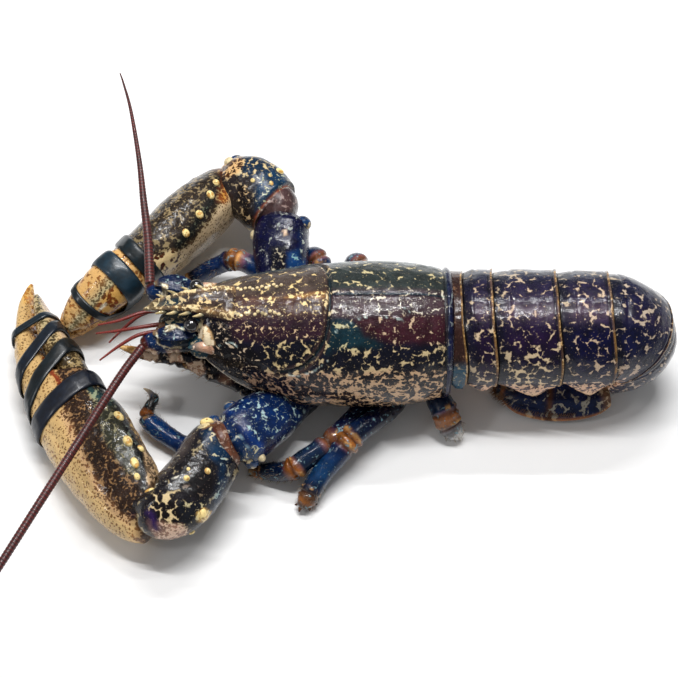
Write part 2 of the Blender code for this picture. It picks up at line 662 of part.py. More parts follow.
def swollen(shape, spare, by):
    """A copy with its skin moved out, used as a cutter."""
    bpy.context.view_layer.update()
    mesh = shape.data.copy()
    mesh.transform(shape.matrix_world)
    work = bmesh.new()
    work.from_mesh(mesh)
    bmesh.ops.triangulate(work, faces=work.faces)
    work.normal_update()
    moves = [v.normal * by * MM for v in work.verts]
    for v, move in zip(work.verts, moves):
        v.co += move
    work.to_mesh(mesh)
    work.free()
    cutter = bpy.data.objects.new(shape.name + "_room", mesh)
    cutter.hide_render = True
    cutter.display_type = "WIRE"
    spare.objects.link(cutter)
    return cutter


def make_room(shape, earlier, spare, by=GAP):
    """Cuts the room of every earlier piece out of this one."""
    for other in earlier:
        cutter = swollen(other, spare, by)
        if world_tree(shape).overlap(world_tree(cutter)):
            apply_boolean(shape, "DIFFERENCE", other=cutter)
        bpy.data.objects.remove(cutter, do_unlink=True)


def rostrum_and_spines(shell, home, spare):
    beak = skin("rostrum", limb_rings(ROSTRUM, (0, 1, 0), 10, 1), spare, "carapace")
    beak.name = "rostrum"
    for side in (-1, 1):
        for k, (x, z) in enumerate(((-57.5, 57.4), (-63.5, 56.8), (-69.5, 55.4), (-74.5, 54.2))):
            reach = 6.6 - 1.05 * k
            base, tip = (x + 1.5, side * (reach - 2.2), z), (x - 3.2, side * (reach + 1.0), z + 1.4)
            spike(f"tooth{side}{k}", base, tip, 1.3, spare)
        spike(f"orbit{side}", (-54.0, side * 15.0, 46.0), (-62.5, side * 15.6, 47.6), 3.4, spare)
        spike(f"brow{side}", (-50.5, side * 12.0, 54.0), (-57.0, side * 12.6, 56.4), 2.0, spare)
    join_in(shell, spare)


def band_ring(claw, middle, across, width, lift):
    """Closed strip round the claw: the hull of all claw points beside it, moved out by a gap."""
    points = np.vstack([ring for ring in claw])
    across = unit(np.array(across, float))
    spine = claw[-4].mean(0) - claw[4].mean(0)
    up = unit(np.cross(spine, across))
    normal = unit(np.cross(across, up))
    rel = points - np.array(middle)
    angle = np.arange(BAND_SIDES) * 2 * math.pi / BAND_SIDES
    face = np.column_stack([np.cos(angle), np.sin(angle)])

    def corner(edge, extra):
        near = abs(rel @ normal - edge) < 1.8
        reach = (np.column_stack([rel[near] @ across, rel[near] @ up]) @ face.T).max(0)
        out = []
        for k in range(BAND_SIDES):
            j = (k + 1) % BAND_SIDES
            out.append(np.linalg.solve(np.array([face[k], face[j]]), np.array([reach[k], reach[j]]) + extra))
        return np.array(out)

    loops = []
    for edge, extra in ((-1, 0), (-1, BAND_THICK), (1, BAND_THICK), (1, 0)):
        flat = corner(edge * width / 2, lift + extra)
        loops.append(np.array(middle) + flat[:, :1] * across + flat[:, 1:] * up + edge * width / 2 * normal)
    return loops


def hoop(name, loops, home):
    count = len(loops[0])
    points = np.vstack(loops) * MM
    faces = []
    for a in range(4):
        b = (a + 1) % 4
        for j in range(count):
            k = (j + 1) % count
            faces.append((a * count + j, a * count + k, b * count + k, b * count + j))
    mesh = bpy.data.meshes.new(name)
    mesh.from_pydata([tuple(p) for p in points], [], faces)
    work = bmesh.new()
    work.from_mesh(mesh)
    bmesh.ops.recalc_face_normals(work, faces=work.faces)
    work.to_mesh(mesh)
    work.free()
    mesh.materials.append(paint("band"))
    shape = bpy.data.objects.new(name, mesh)
    home.objects.link(shape)
    return shape


def mirrored(rows):
    return [(row[0], -row[1], *row[2:]) for row in rows]


def build_body(home, spare, made):
    shell = skin("carapace", carapace_rings(), home, "carapace", ends=(0.0, 0.35))
    rostrum_and_spines(shell, home, spare)
    for name, at in EYES.items():
        made.append(ball(name, at, EYE_RADIUS, home, 10))
        made[-1].data.materials.append(paint("eye"))
    make_room(shell, made, spare)
    made.append(shell)
    for k, (start, end) in enumerate(SEGMENTS):
        count = (3, 5, 9, 9, 10, 9)[k]
        rings = tail_rings(start, end, count, k == 0)
        made.append(skin(f"abdomen_{k + 1}", rings, home, "abdomen", ends=(0.0, 0.0)))


def build_fan(home, spare, made):
    pieces = [("telson", TELSON, (0, 1, 0))]
    far_side = (0, -BLADE_SIDE[1], BLADE_SIDE[2])
    for part, rows in (("inner", ENDOPOD), ("outer", EXOPOD)):
        pieces.append((f"uropod_left_{part}", rows, BLADE_SIDE))
        pieces.append((f"uropod_right_{part}", mirrored(rows), far_side))
    for name, rows, side in pieces:
        blade = skin(name, limb_rings(rows, side, 12, 1, power=2.6), home, "tail")
        make_room(blade, made, spare)
        made.append(blade)


def build_arm(tag, tables, side, home, spare, made):
    merus, carpus, palm, dactyl = tables
    finger = skin(f"claw_{tag}_dactyl", claw_rings(dactyl, AROUND_LIMB, 1), home, "claw")
    make_room(finger, made, spare)
    made.append(finger)
    upper = skin(f"merus_{tag}", limb_rings(merus, side, AROUND_LIMB, 1, 2.4), home, "arm")
    add_tubercles(upper, TUBERCLES[f"merus_{tag}"], spare)
    make_room(upper, made, spare)
    made.append(upper)
    wrist = skin(f"carpus_{tag}", limb_rings(carpus, side, AROUND_LIMB, 1, 2.3), home, "arm")
    add_tubercles(wrist, TUBERCLES[f"carpus_{tag}"], spare)
    make_room(wrist, made, spare)
    made.append(wrist)
    hand = skin(f"claw_{tag}_palm", claw_rings(palm, AROUND_LIMB, 1), home, "claw")
    add_tubercles(hand, TUBERCLES[f"claw_{tag}_palm"], spare)
    make_room(hand, made, spare)
    made.append(hand)
    for name, (which, middle, across, width) in BANDS.items():
        if which != tag:
            continue
        both = claw_rings(palm, 32, 8) + claw_rings(dactyl, 32, 8)
        loops = band_ring(both, middle, across, width, 0.45)
        strip = hoop(name, loops, home)
        make_room(strip, [item for item in made if item.name.startswith("band")], spare)
        made.append(strip)


def build_small(home, spare, made):
    rows = [("maxilliped_left", MAXILLIPED_LEFT, "mouth", 8)]
    rows += [("maxilliped_right", MAXILLIPED_RIGHT, "mouth", 8)]
    rows += [("peduncle_left", PEDUNCLE_LEFT, "leg", 10), ("peduncle_right", PEDUNCLE_RIGHT, "leg", 10)]
    rows += [(name, legs, "leg", AROUND_LEG) for name, legs in LEGS.items()]
    rows += [("flagellum_left", FLAGELLUM_LEFT, "antenna", 7)]
    rows += [("flagellum_right", FLAGELLUM_RIGHT, "antenna", 7)]
    rows += [(name, line, "antennule", 6) for name, line in ANTENNULES.items()]
    for name, line, colour, around in rows:
        per_span = 2 if colour in ("antenna", "antennule") else 1
        piece = skin(name, limb_rings(line, (0.1, 0.2, 1.0), around, per_span), home, colour)
        make_room(piece, made, spare)
        made.append(piece)
    for name, line in SCALES.items():
        reach = (3.0, 4.0, 3.2, 1.0)
        rows = [(*p, r, 0.9) for p, r in zip(line, reach)]
        piece = skin(name, limb_rings(rows, (0.0, 1.0, 0.0), 8, 1), home, "leg")
        make_room(piece, made, spare)
        made.append(piece)


def main():
    home, spare = clear_scene()
    made = []
    build_body(home, spare, made)
    build_arm("left", (LEFT_MERUS, LEFT_CARPUS, LEFT_PALM, LEFT_DACTYL), LEFT_SIDE, home, spare, made)
    right = (RIGHT_MERUS, RIGHT_CARPUS, edge_claw_rows(RIGHT_PALM), edge_claw_rows(RIGHT_DACTYL))
    build_arm("right", right, (1.0, -0.1, 0.1), home, spare, made)
    build_fan(home, spare, made)
    build_small(home, spare, made)
    bpy.data.collections.remove(spare)
    for item in home.objects:
        item.location += Vector(SHIFT) * MM
        for face in item.data.polygons:
            face.use_smooth = False


main()
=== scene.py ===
"""The looks of the whole raw lobster: fine shell pieces, bands, feelers, bristles, light and camera."""

import math

import bmesh
import bpy
import numpy as np
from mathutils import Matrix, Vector


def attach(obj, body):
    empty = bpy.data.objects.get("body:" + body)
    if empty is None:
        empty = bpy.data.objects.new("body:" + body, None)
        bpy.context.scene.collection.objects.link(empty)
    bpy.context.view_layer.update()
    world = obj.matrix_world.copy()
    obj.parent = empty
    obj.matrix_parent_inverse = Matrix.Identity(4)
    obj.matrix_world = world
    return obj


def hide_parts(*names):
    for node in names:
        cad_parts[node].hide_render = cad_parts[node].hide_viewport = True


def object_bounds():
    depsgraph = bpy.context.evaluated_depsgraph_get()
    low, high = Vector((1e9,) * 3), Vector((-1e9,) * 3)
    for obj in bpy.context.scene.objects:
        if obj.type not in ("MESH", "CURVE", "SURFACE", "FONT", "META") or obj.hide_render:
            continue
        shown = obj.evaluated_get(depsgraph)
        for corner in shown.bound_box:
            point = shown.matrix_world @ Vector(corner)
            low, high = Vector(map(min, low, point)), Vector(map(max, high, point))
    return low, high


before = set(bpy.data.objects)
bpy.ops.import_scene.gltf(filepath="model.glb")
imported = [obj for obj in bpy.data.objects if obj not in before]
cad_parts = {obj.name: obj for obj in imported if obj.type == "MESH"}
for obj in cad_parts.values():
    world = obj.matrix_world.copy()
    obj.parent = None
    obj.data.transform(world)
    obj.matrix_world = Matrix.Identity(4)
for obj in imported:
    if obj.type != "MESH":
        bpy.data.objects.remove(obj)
CAD_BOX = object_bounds()

MM = 0.001
FLOOR_LEVEL = CAD_BOX[0][2] * 1000.0
SHIFT = np.array((2.3, 14.1, -0.1))

# The camera stands where the photograph was taken from, 58 degrees above the floor
ELEVATION = math.radians(58.0)
DISTANCE = 650.0
SCALE = 0.425
PHOTO_SIDE = 678
PHOTO_MIDDLE = PHOTO_SIDE / 2
SENSOR = 36.0
TARGET = np.array((0.0, -2.0, 32.0))
BACK = np.array((0.0, -math.cos(ELEVATION), math.sin(ELEVATION)))
UP = np.array((0.0, math.sin(ELEVATION), math.cos(ELEVATION)))
VIEWPOINT = TARGET + DISTANCE * BACK

# How fine the pieces are: points round a ring, and millimetres between rings
CARAPACE_AROUND, CARAPACE_STEP = 250, 0.62
TAIL_AROUND, TAIL_STEP, LAST_TAIL_STEP = 192, 0.55, 0.85
BLADE_AROUND, BLADE_STEP = 92, 0.85
LEFT_PALM_AROUND, RIGHT_PALM_AROUND, PALM_STEP, FINGER_AROUND = 164, 160, 0.70, 110
MERUS_AROUND, MERUS_STEP, CARPUS_AROUND, CARPUS_STEP = 110, 0.6, 130, 0.55
LEG_AROUND, MOUTH_AROUND, LIMB_STEP = 44, 56, 0.5
FEELER_STEP = 0.30

# Bristles: how many on each piece, and where a fan blade's side rows stand, in points round it
MOUTH_HAIRS = 160
LEG_HAIRS, SHORT_LEG_HAIRS = 150, 70
SIDE_FRINGE, END_FRINGE = 340, 160
FRINGE_ROWS = (0, 60)

# Carapace rings: distance along the body, half width, half height, height of the middle
CARAPACE = (
    (46.6, 26.4, 27.6, 33.4),
    (44.9, 27.4, 28.4, 33.4),
    (43.4, 27.0, 28.0, 33.4),
    (39.5, 28.0, 29.0, 33.4),
    (32.0, 29.6, 30.1, 33.4),
    (22.0, 30.8, 30.8, 33.2),
    (11.0, 31.0, 31.1, 33.0),
    (2.0, 30.3, 30.9, 32.8),
    (-4.0, 29.6, 30.6, 32.6),
    (-9.0, 29.2, 30.3, 32.4),
    (-17.0, 28.2, 29.4, 32.2),
    (-25.0, 27.0, 28.2, 32.4),
    (-33.0, 25.4, 26.6, 33.2),
    (-41.0, 23.2, 24.4, 34.4),
    (-48.0, 20.6, 21.6, 36.0),
    (-53.5, 17.6, 18.4, 38.0),
    (-58.0, 14.0, 14.4, 39.6),
    (-63.0, 10.8, 11.0, 40.0),
    (-68.5, 8.6, 8.6, 39.6),
    (-73.0, 6.0, 6.0, 39.0),
)
CERVICAL_X = -4.0
GROOVE_DEPTH, GROOVE_WIDTH = 1.15, 1.5
SCAR_RISE = 0.22
REAR_GROOVE_X = 43.6
BACK_BEADS = 26

# Rostrum: x, y, z, half width, half height
ROSTRUM = (
    (-44.0, 0, 56.0, 9.0, 3.0),
    (-53.0, 0, 57.0, 7.2, 3.0),
    (-61.0, 0, 57.0, 5.2, 2.7),
    (-68.0, 0, 55.8, 3.8, 2.3),
    (-75.0, 0, 53.9, 2.4, 1.8),
    (-80.8, 0, 52.0, 0.6, 0.6),
)

ROSTRUM_TEETH = ((-56.5, 57.2), (-62.2, 56.9), (-67.6, 55.8), (-72.4, 54.6))

# Abdomen: curl axis, dorsal radius by angle, half width by angle, segment ends
CURL_X = 112.0
CURL_Z = 24.0
DORSAL = (
    (-90, 37.0), (0, 36.7), (30, 35.5), (60, 34.7), (75, 33.2),
    (90, 30.2), (110, 26.8), (135, 24.2), (160, 23.6),
)
WIDTH = ((-95, 25.6), (-60, 26.0), (-30, 25.8), (0, 25.0), (40, 22.8), (80, 21.2), (120, 19.6), (160, 18.0))
WAIST_SHARE, BELLY_SHARE = 0.34, 0.235
LIP_TUCK, LIP_END = 0.045, 1 / 3.2
LEAN = 2.4
LAST_STRAIGHT_END = 112.0
MM_PER_DEGREE = 0.62
SEGMENTS = ((47.0, 50.6), (50.9, 63.2), (63.5, 90.0), (90.3, 112.0), (112.3, 164.0), (164.6, 266.0))
PLEURON = ((0.0, 0.0), (0.15, 0.16), (0.34, 0.52), (0.5, 0.88), (0.6, 1.0), (0.68, 0.9), (0.8, 0.42), (1.0, 0.0))

# Claws: outer edge point, inner edge point, half thickness
LEFT_PALM = (
    ((-76.5, -85.1, 13.0), (-74.4, -67.3, 20.0), 7.0),
    ((-80.6, -87.0, 11.0), (-74.1, -63.3, 22.0), 9.3),
    ((-89.9, -84.0, 10.0), (-77.1, -54.6, 22.0), 10.8),
    ((-101.4, -74.3, 10.0), (-82.3, -45.2, 22.0), 12.0),
    ((-116.2, -56.4, 10.2), (-90.8, -30.1, 21.4), 12.4),
    ((-127.4, -36.8, 10.2), (-99.4, -20.6, 20.6), 11.8),
    ((-134.9, -18.4, 10.2), (-107.0, -10.6, 19.6), 11.0),
    ((-139.4, -3.2, 10.2), (-119.1, -10.6, 17.4), 9.8),
    ((-141.2, 5.6, 10.0), (-129.8, 2.9, 13.4), 8.8),
    ((-141.2, 13.6, 9.8), (-133.6, 12.3, 12.4), 7.8),
    ((-141.9, 23.2, 9.4), (-135.7, 21.1, 11.8), 6.4),
    ((-141.0, 31.5, 9.4), (-137.4, 30.0, 11.2), 4.5),
    ((-139.8, 37.5, 9.6), (-138.2, 36.9, 10.6), 2.5),
    ((-139.2, 40.8, 9.6), (-138.4, 40.5, 10.0), 0.7),
)
LEFT_TEETH = (1.7, 1.3, 1.9, 1.2, 1.5, 1.1, 1.3, 0.9, 1.1, 0.8, 0.7)
LEFT_DACTYL = (
    ((-120.0, -11.4, 14.6), (-108.0, -9.3, 18.4), 7.0),
    ((-122.8, -7.2, 14.2), (-110.0, -6.0, 18.8), 8.6),
    ((-127.6, 2.0, 13.8), (-113.5, 0.0, 18.7), 8.8),
    ((-131.3, 10.9, 13.2), (-119.2, 8.6, 17.7), 7.8),
    ((-133.6, 19.5, 12.6), (-124.2, 16.8, 16.2), 6.4),
    ((-134.9, 26.3, 12.3), (-129.4, 24.6, 14.7), 4.8),
    ((-135.7, 31.2, 12.2), (-132.6, 30.4, 13.6), 3.0),
    ((-135.6, 33.8, 12.2), (-134.6, 33.6, 12.6), 0.8),
)
# Claws seen on edge: middle point, reach to the outer edge, reach to the inner edge, half thickness
RIGHT_PALM = (
    ((-50.0, 83.7, 22.3), 8.5, 9.4, 8.6),
    ((-53.8, 83.6, 21.9), 12.5, 12.9, 11.4),
    ((-58.6, 78.5, 21.5), 15.7, 16.4, 13.4),
    ((-65.5, 70.7, 21.3), 17.9, 18.6, 14.3),
    ((-73.3, 62.3, 20.9), 18.7, 19.6, 14.3),
    ((-84.5, 49.7, 20.3), 18.3, 19.4, 13.2),
    ((-92.8, 42.0, 19.7), 17.3, 17.6, 12.0),
    ((-98.8, 36.7, 18.7), 16.3, 1.4, 11.2),
    ((-105.6, 30.7, 16.9), 14.3, 0.4, 10.2),
    ((-113.1, 24.0, 14.1), 11.3, 0.4, 8.6),
    ((-118.2, 18.5, 11.5), 8.7, -1.1, 6.2),
    ((-121.8, 12.9, 9.7), 6.7, -2.8, 2.0),
)
RIGHT_DACTYL = (
    ((-91.9, 42.6, 19.9), -2.2, 16.7, 9.4),
    ((-97.4, 37.5, 19.1), -1.2, 17.6, 11.4),
    ((-105.6, 30.7, 16.9), -0.4, 16.2, 10.6),
    ((-113.1, 24.0, 14.1), -0.4, 12.8, 8.6),
    ((-117.8, 19.1, 11.7), -0.8, 9.6, 6.0),
    ((-119.9, 16.0, 10.5), -2.4, 6.4, 2.0),
)
RIGHT_SIDE = (0.228, -0.341, 0.912)
LEFT_SIDE = (0.67, -0.63, -0.39)
RIGHT_ARM_SIDE = (1.0, -0.1, 0.1)
LIMB_SIDE = (0.1, 0.2, 1.0)

# Arms and legs: x, y, z, half width, half thickness
LEFT_MERUS = (
    (-12.8, -12.0, 12.0, 6.5, 5.5),
    (-20.9, -22.6, 15.0, 9.5, 7.5),
    (-26.2, -29.2, 18.0, 11.5, 9.0),
    (-32.3, -35.7, 21.0, 12.4, 10.0),
    (-37.9, -41.5, 23.0, 12.8, 10.5),
    (-41.0, -44.9, 24.0, 12.4, 10.2),
    (-42.7, -46.3, 24.0, 10.5, 8.5),
)
LEFT_CARPUS = (
    (-42.6, -49.3, 22.5, 7.0, 6.0),
    (-45.9, -49.7, 22.5, 10.5, 8.5),
    (-48.3, -50.5, 23.0, 12.5, 10.5),
    (-51.4, -52.2, 23.2, 13.0, 11.2),
    (-55.2, -59.0, 23.8, 13.4, 12.0),
    (-59.1, -66.5, 24.2, 13.4, 12.0),
    (-63.8, -73.1, 24.2, 13.6, 11.6),
    (-68.4, -77.0, 24.2, 13.2, 11.0),
    (-74.1, -78.3, 24.4, 11.0, 9.5),
    (-78.8, -76.9, 24.8, 6.6, 6.4),
    (-82.4, -75.9, 25.0, 2.0, 2.0),
)
RIGHT_MERUS = (
    (-19.0, 12.0, 12.0, 6.5, 5.5),
    (-22.7, 29.9, 17.0, 9.5, 8.0),
    (-24.9, 38.8, 20.5, 11.5, 9.5),
    (-25.9, 47.2, 24.0, 12.4, 10.5),
    (-26.0, 54.0, 26.0, 12.6, 10.5),
    (-25.1, 58.8, 27.0, 11.8, 10.0),
    (-24.7, 61.0, 27.0, 10.0, 8.5),
)
RIGHT_CARPUS = (
    (-25.7, 64.9, 27.0, 7.0, 7.0),
    (-28.0, 68.9, 27.0, 11.5, 9.5),
    (-31.3, 72.2, 27.0, 14.2, 11.5),
    (-36.0, 78.2, 27.0, 15.2, 12.5),
    (-40.7, 82.5, 27.0, 15.0, 12.5),
    (-45.4, 85.5, 26.8, 13.6, 12.0),
    (-49.6, 88.2, 26.4, 11.0, 10.0),
    (-52.9, 90.2, 26.2, 6.5, 6.5),
    (-55.1, 91.4, 26.0, 1.8, 1.8),
)
LEGS = {
    "leg_left_1": (
        (-7.4, -9.9, 11.0, 4.2), (-11.2, -18.9, 12.0, 4.4),
        (-23.0, -30.7, 12.0, 4.6), (-31.9, -38.5, 9.2, 4.1),
        (-40.3, -43.3, 6.6, 3.8), (-52.7, -44.0, 5.4, 3.8),
        (-63.5, -40.7, 5.4, 4.0), (-72.8, -35.0, 6.0, 4.2),
        (-80.3, -29.4, 7.0, 4.2), (-82.6, -25.7, 8.2, 3.2),
        (-81.4, -21.7, 9.0, 2.4), (-79.5, -18.0, 9.6, 1.7),
        (-82.6, -14.8, 9.6, 0.8),
    ),
    "leg_left_2": (
        (15.1, -12.4, 11.0, 4.2), (9.8, -24.6, 12.5, 4.3),
        (2.5, -35.0, 14.5, 4.3), (-6.7, -44.0, 14.0, 4.2),
        (-15.1, -49.9, 12.0, 4.5), (-18.4, -52.1, 10.5, 5.0),
        (-22.7, -52.5, 8.0, 4.2), (-29.2, -51.2, 5.2, 3.7),
        (-33.5, -50.6, 3.8, 2.9), (-37.8, -50.0, 2.6, 1.4),
    ),
    "leg_left_3": (
        (28.1, -12.0, 11.0, 4.4), (23.6, -23.0, 13.0, 4.5),
        (16.1, -30.9, 15.0, 4.7), (8.9, -37.2, 16.0, 4.7),
        (4.2, -41.5, 15.0, 5.4), (0.0, -46.1, 13.0, 5.0),
        (-5.5, -52.1, 10.0, 4.6), (-10.5, -59.0, 7.0, 4.4),
        (-13.4, -64.0, 4.8, 4.2), (-15.1, -66.5, 3.6, 2.8),
    ),
    "leg_left_4": (
        (40.0, -10.6, 14.0, 4.6), (42.4, -20.6, 14.0, 5.2),
        (44.9, -25.6, 12.5, 5.5), (46.3, -28.3, 9.5, 5.5),
        (48.5, -31.3, 6.2, 4.8), (51.4, -33.1, 4.0, 2.8),
    ),
    "leg_right_1": (
        (-8.0, 13.0, 12.0, 4.2), (-15.6, 27.2, 13.0, 4.2),
        (-26.0, 36.5, 15.0, 4.2), (-34.0, 42.0, 18.0, 4.3),
        (-42.5, 46.4, 19.8, 4.4), (-47.2, 48.2, 19.0, 4.7),
        (-52.9, 48.6, 15.0, 4.2), (-60.4, 47.9, 10.5, 3.8),
        (-66.1, 46.9, 7.0, 3.2), (-70.8, 45.1, 4.0, 2.3), (-73.2, 44.1, 2.4, 1.1),
    ),
    "leg_right_2": (
        (1.0, 13.0, 12.0, 4.2), (-1.3, 26.8, 12.0, 4.2), (-5.8, 39.5, 17.5, 4.3), (-9.0, 47.2, 19.8, 4.4),
        (-11.7, 50.8, 18.0, 4.4), (-13.6, 52.3, 13.0, 4.0),
        (-14.7, 52.4, 7.0, 3.2), (-15.4, 52.6, 3.0, 1.6),
    ),
    "leg_right_3": (
        (17.0, 13.0, 12.0, 4.2), (14.7, 26.8, 12.0, 4.2), (11.6, 38.4, 16.5, 4.3), (9.4, 46.0, 18.0, 4.4),
        (7.2, 49.2, 15.6, 4.3), (5.9, 50.4, 11.0, 3.8), (5.0, 51.3, 6.5, 3.0), (4.6, 51.8, 3.0, 1.5),
    ),
    "leg_right_4": (
        (41.8, 11.0, 14.0, 4.6), (43.7, 20.1, 14.0, 5.0), (45.8, 25.1, 12.5, 5.2), (47.1, 28.3, 9.5, 5.0),
        (48.5, 30.8, 6.0, 4.2), (51.2, 32.6, 3.0, 1.8),
    ),
}
MAXILLIPED_LEFT = (
    (-26.0, -15.0, 11.5, 3.8),
    (-36.5, -16.2, 15.0, 4.4),
    (-43.2, -14.6, 19.5, 4.8),
    (-52.3, -12.9, 25.0, 5.2),
    (-62.2, -10.9, 30.3, 4.9),
    (-71.2, -10.6, 33.6, 4.2),
    (-78.0, -11.5, 35.6, 3.4),
    (-84.1, -11.7, 37.2, 2.3),
    (-91.7, -9.7, 38.2, 0.7),
)
MAXILLIPED_RIGHT = (
    (-26.0, 15.0, 11.5, 3.8),
    (-36.5, 16.2, 15.0, 4.4),
    (-43.2, 14.6, 19.5, 4.8),
    (-52.3, 12.9, 23.5, 5.2),
    (-61.0, 10.9, 26.5, 4.9),
    (-68.0, 9.6, 28.0, 4.0),
    (-73.5, 8.4, 27.0, 3.1),
    (-77.0, 7.0, 24.5, 2.2),
    (-78.8, 5.4, 21.5, 0.8),
)
PEDUNCLE_LEFT = (
    (-60.0, -6.5, 41.0, 5.6), (-68.4, -9.3, 42.6, 5.2),
    (-73.4, -10.6, 42.8, 4.4), (-75.5, -10.6, 42.8, 4.9),
    (-78.6, -10.6, 42.8, 4.3), (-81.0, -11.4, 42.8, 2.8),
)
PEDUNCLE_RIGHT = (
    (-60.0, 8.0, 43.0, 5.6), (-67.9, 11.6, 46.0, 5.2), (-72.9, 11.7, 47.0, 4.4), (-75.2, 11.7, 47.4, 4.8),
    (-78.0, 12.0, 48.0, 4.0), (-79.3, 13.6, 48.4, 2.8),
)
FLAGELLUM_LEFT = (
    (-81.6, -12.7, 43.0, 1.9), (-89.8, -27.7, 43.6, 1.85),
    (-103.2, -57.6, 45.4, 1.8), (-116.1, -85.4, 46.0, 1.75),
    (-127.6, -109.8, 46.0, 1.7), (-135.0, -124.7, 45.4, 1.4),
    (-142.0, -138.0, 44.4, 0.95), (-147.6, -148.0, 43.4, 0.4),
)
FLAGELLUM_RIGHT = (
    (-79.7, 15.0, 48.7, 2.2), (-81.4, 34.6, 53.0, 1.95), (-84.1, 52.9, 57.0, 1.6), (-87.0, 72.4, 60.0, 1.2),
    (-92.2, 98.4, 62.0, 0.8), (-96.6, 114.0, 62.6, 0.5), (-98.6, 120.0, 62.6, 0.3),
)
ANTENNULES = {
    "antennule_left_upper": (
        (-72.5, -3.4, 46.4, 1.0), (-82.5, -6.0, 47.6, 0.8),
        (-91.8, -7.0, 46.4, 0.65), (-101.1, -7.4, 45.0, 0.35),
    ),
    "antennule_left_lower": (
        (-72.5, -5.6, 44.6, 1.0), (-82.7, -8.9, 46.4, 0.8),
        (-90.9, -13.3, 44.8, 0.65), (-98.8, -19.2, 43.0, 0.35),
    ),
    "antennule_right_upper": (
        (-72.5, 3.2, 46.4, 1.0), (-82.5, 0.4, 48.6, 0.8),
        (-91.8, -3.2, 48.2, 0.65), (-100.2, -4.6, 47.2, 0.35),
    ),
    "antennule_right_lower": (
        (-72.5, 5.6, 44.6, 1.0), (-82.0, 2.2, 45.2, 0.8),
        (-89.0, -2.4, 43.0, 0.65), (-96.0, -9.4, 41.0, 0.35),
    ),
}
EYES = {"eye_left": (-60.6, -9.2, 54.0), "eye_right": (-59.4, 9.6, 54.6)}
EYE_RADIUS = 3.1
SCALES = {
    "antennal_scale_left": (
        (-60.0, -8.8, 49.4), (-66.0, -10.2, 50.6),
        (-72.0, -10.6, 50.2), (-76.5, -10.0, 49.4),
    ),
    "antennal_scale_right": (
        (-60.0, 10.4, 51.0), (-66.5, 11.8, 53.6),
        (-72.5, 12.2, 54.2), (-77.0, 11.6, 53.6),
    ),
}
SCALE_REACH, SCALE_THICK = (3.0, 4.2, 3.4, 1.0), 0.85

# Tail fan blades: x, y, z, half width, half thickness
TELSON = (
    (118.5, 0, 2.6, 9.0, 1.6), (109.5, 0, 2.0, 10.6, 1.7),
    (95.5, 0, 1.8, 9.8, 1.6), (81.5, 0, 1.8, 8.8, 1.5),
    (71.5, 0, 1.9, 7.0, 1.3), (67.5, 0, 2.0, 3.4, 0.9),
)
ENDOPOD = (
    (116.5, -10.0, 5.2, 4.6, 1.0), (109.5, -11.4, 4.9, 6.6, 1.1),
    (95.5, -11.6, 4.8, 8.2, 1.1), (81.5, -11.2, 4.8, 8.0, 1.1),
    (71.5, -10.0, 4.9, 5.6, 1.0), (67.9, -9.4, 5.0, 2.4, 0.7),
)
EXOPOD = (
    (116.1, -16.0, 8.2, 5.2, 1.3), (109.5, -17.2, 7.7, 7.8, 1.4),
    (99.5, -17.6, 7.4, 9.2, 1.3), (89.5, -17.2, 7.3, 9.4, 1.3),
    (79.5, -15.8, 7.5, 8.2, 1.2), (73.5, -14.2, 7.9, 5.4, 1.0), (70.9, -13.4, 8.2, 2.2, 0.7),
)
BLADE_SIDE = (0.0, 0.87, 0.42)

# Elastic bands: claw, middle point, direction across the claw, width
BANDS = {
    "band_left_1": ("left", (-134.3, 13.3, 13.0), (17.9, 11.3, 6.0), 4.0),
    "band_left_2": ("left", (-129.7, -2.6, 13.0), (16.6, 29.2, 8.0), 6.0),
    "band_left_3": ("left", (-122.7, -13.0, 13.5), (17.8, 31.3, 9.0), 7.0),
    "band_left_4": ("left", (-113.6, -26.0, 15.0), (24.7, 22.6, 11.0), 9.0),
    "band_right_1": ("right", (-107.5, 29.2, 16.3), (-0.30, -0.64, 0.70), 3.6),
    "band_right_2": ("right", (-99.5, 36.2, 18.5), (0.228, -0.341, 0.912), 9.4),
    "band_right_3": ("right", (-88.8, 45.6, 20.1), (0.10, -0.48, 0.87), 7.0),
}

BAND_TONES = ((3, 15, 22), (1, 8, 19), (1, 6, 9), (2, 5, 18), (1, 9, 14), (16, 32, 42), (3, 15, 20))
BAND_LIFT, BAND_THICK = 0.22, 1.0


def table(rows, at):
    """The value of a table at a place, on straight lines between its rows."""
    return float(np.interp(at, [row[0] for row in rows], [row[1] for row in rows]))


def linear(colour):
    """An sRGB colour given in 0 to 255 as linear light."""
    c = np.asarray(colour, float) / 255.0
    return np.where(c <= 0.04045, c / 12.92, ((c + 0.055) / 1.055) ** 2.4)


def unit(v):
    v = np.asarray(v, float)
    return v / max(np.linalg.norm(v), 1e-9)


def blend(a, b, t):
    """From a at t = 0 to b at t = 1, with soft ends."""
    t = np.clip(t, 0, 1)
    t = t * t * (3 - 2 * t)
    return a + (b - a) * t


def ramp(x, low, high):
    """Smooth step from 0 at low to 1 at high."""
    t = np.clip((np.asarray(x, float) - low) / (high - low), 0, 1)
    return t * t * (3 - 2 * t)


def bell(x, middle, width):
    """1 at the middle, falling off to both sides."""
    return np.exp(-(((np.asarray(x, float) - middle) / width) ** 2))


def corner_value(cell, seed):
    """A repeatable random value from -1 to 1 for each whole-numbered cell."""
    h = seed * 97 + 1013
    for axis, prime in enumerate((73856093, 19349663, 83492791)):
        h = h ^ (cell[..., axis] * prime)
    h = ((h ^ (h >> 13)) * 1274126177) & 0xFFFFFFFF
    h = h ^ (h >> 16)
    return (h & 0xFFFF) / 32767.5 - 1.0


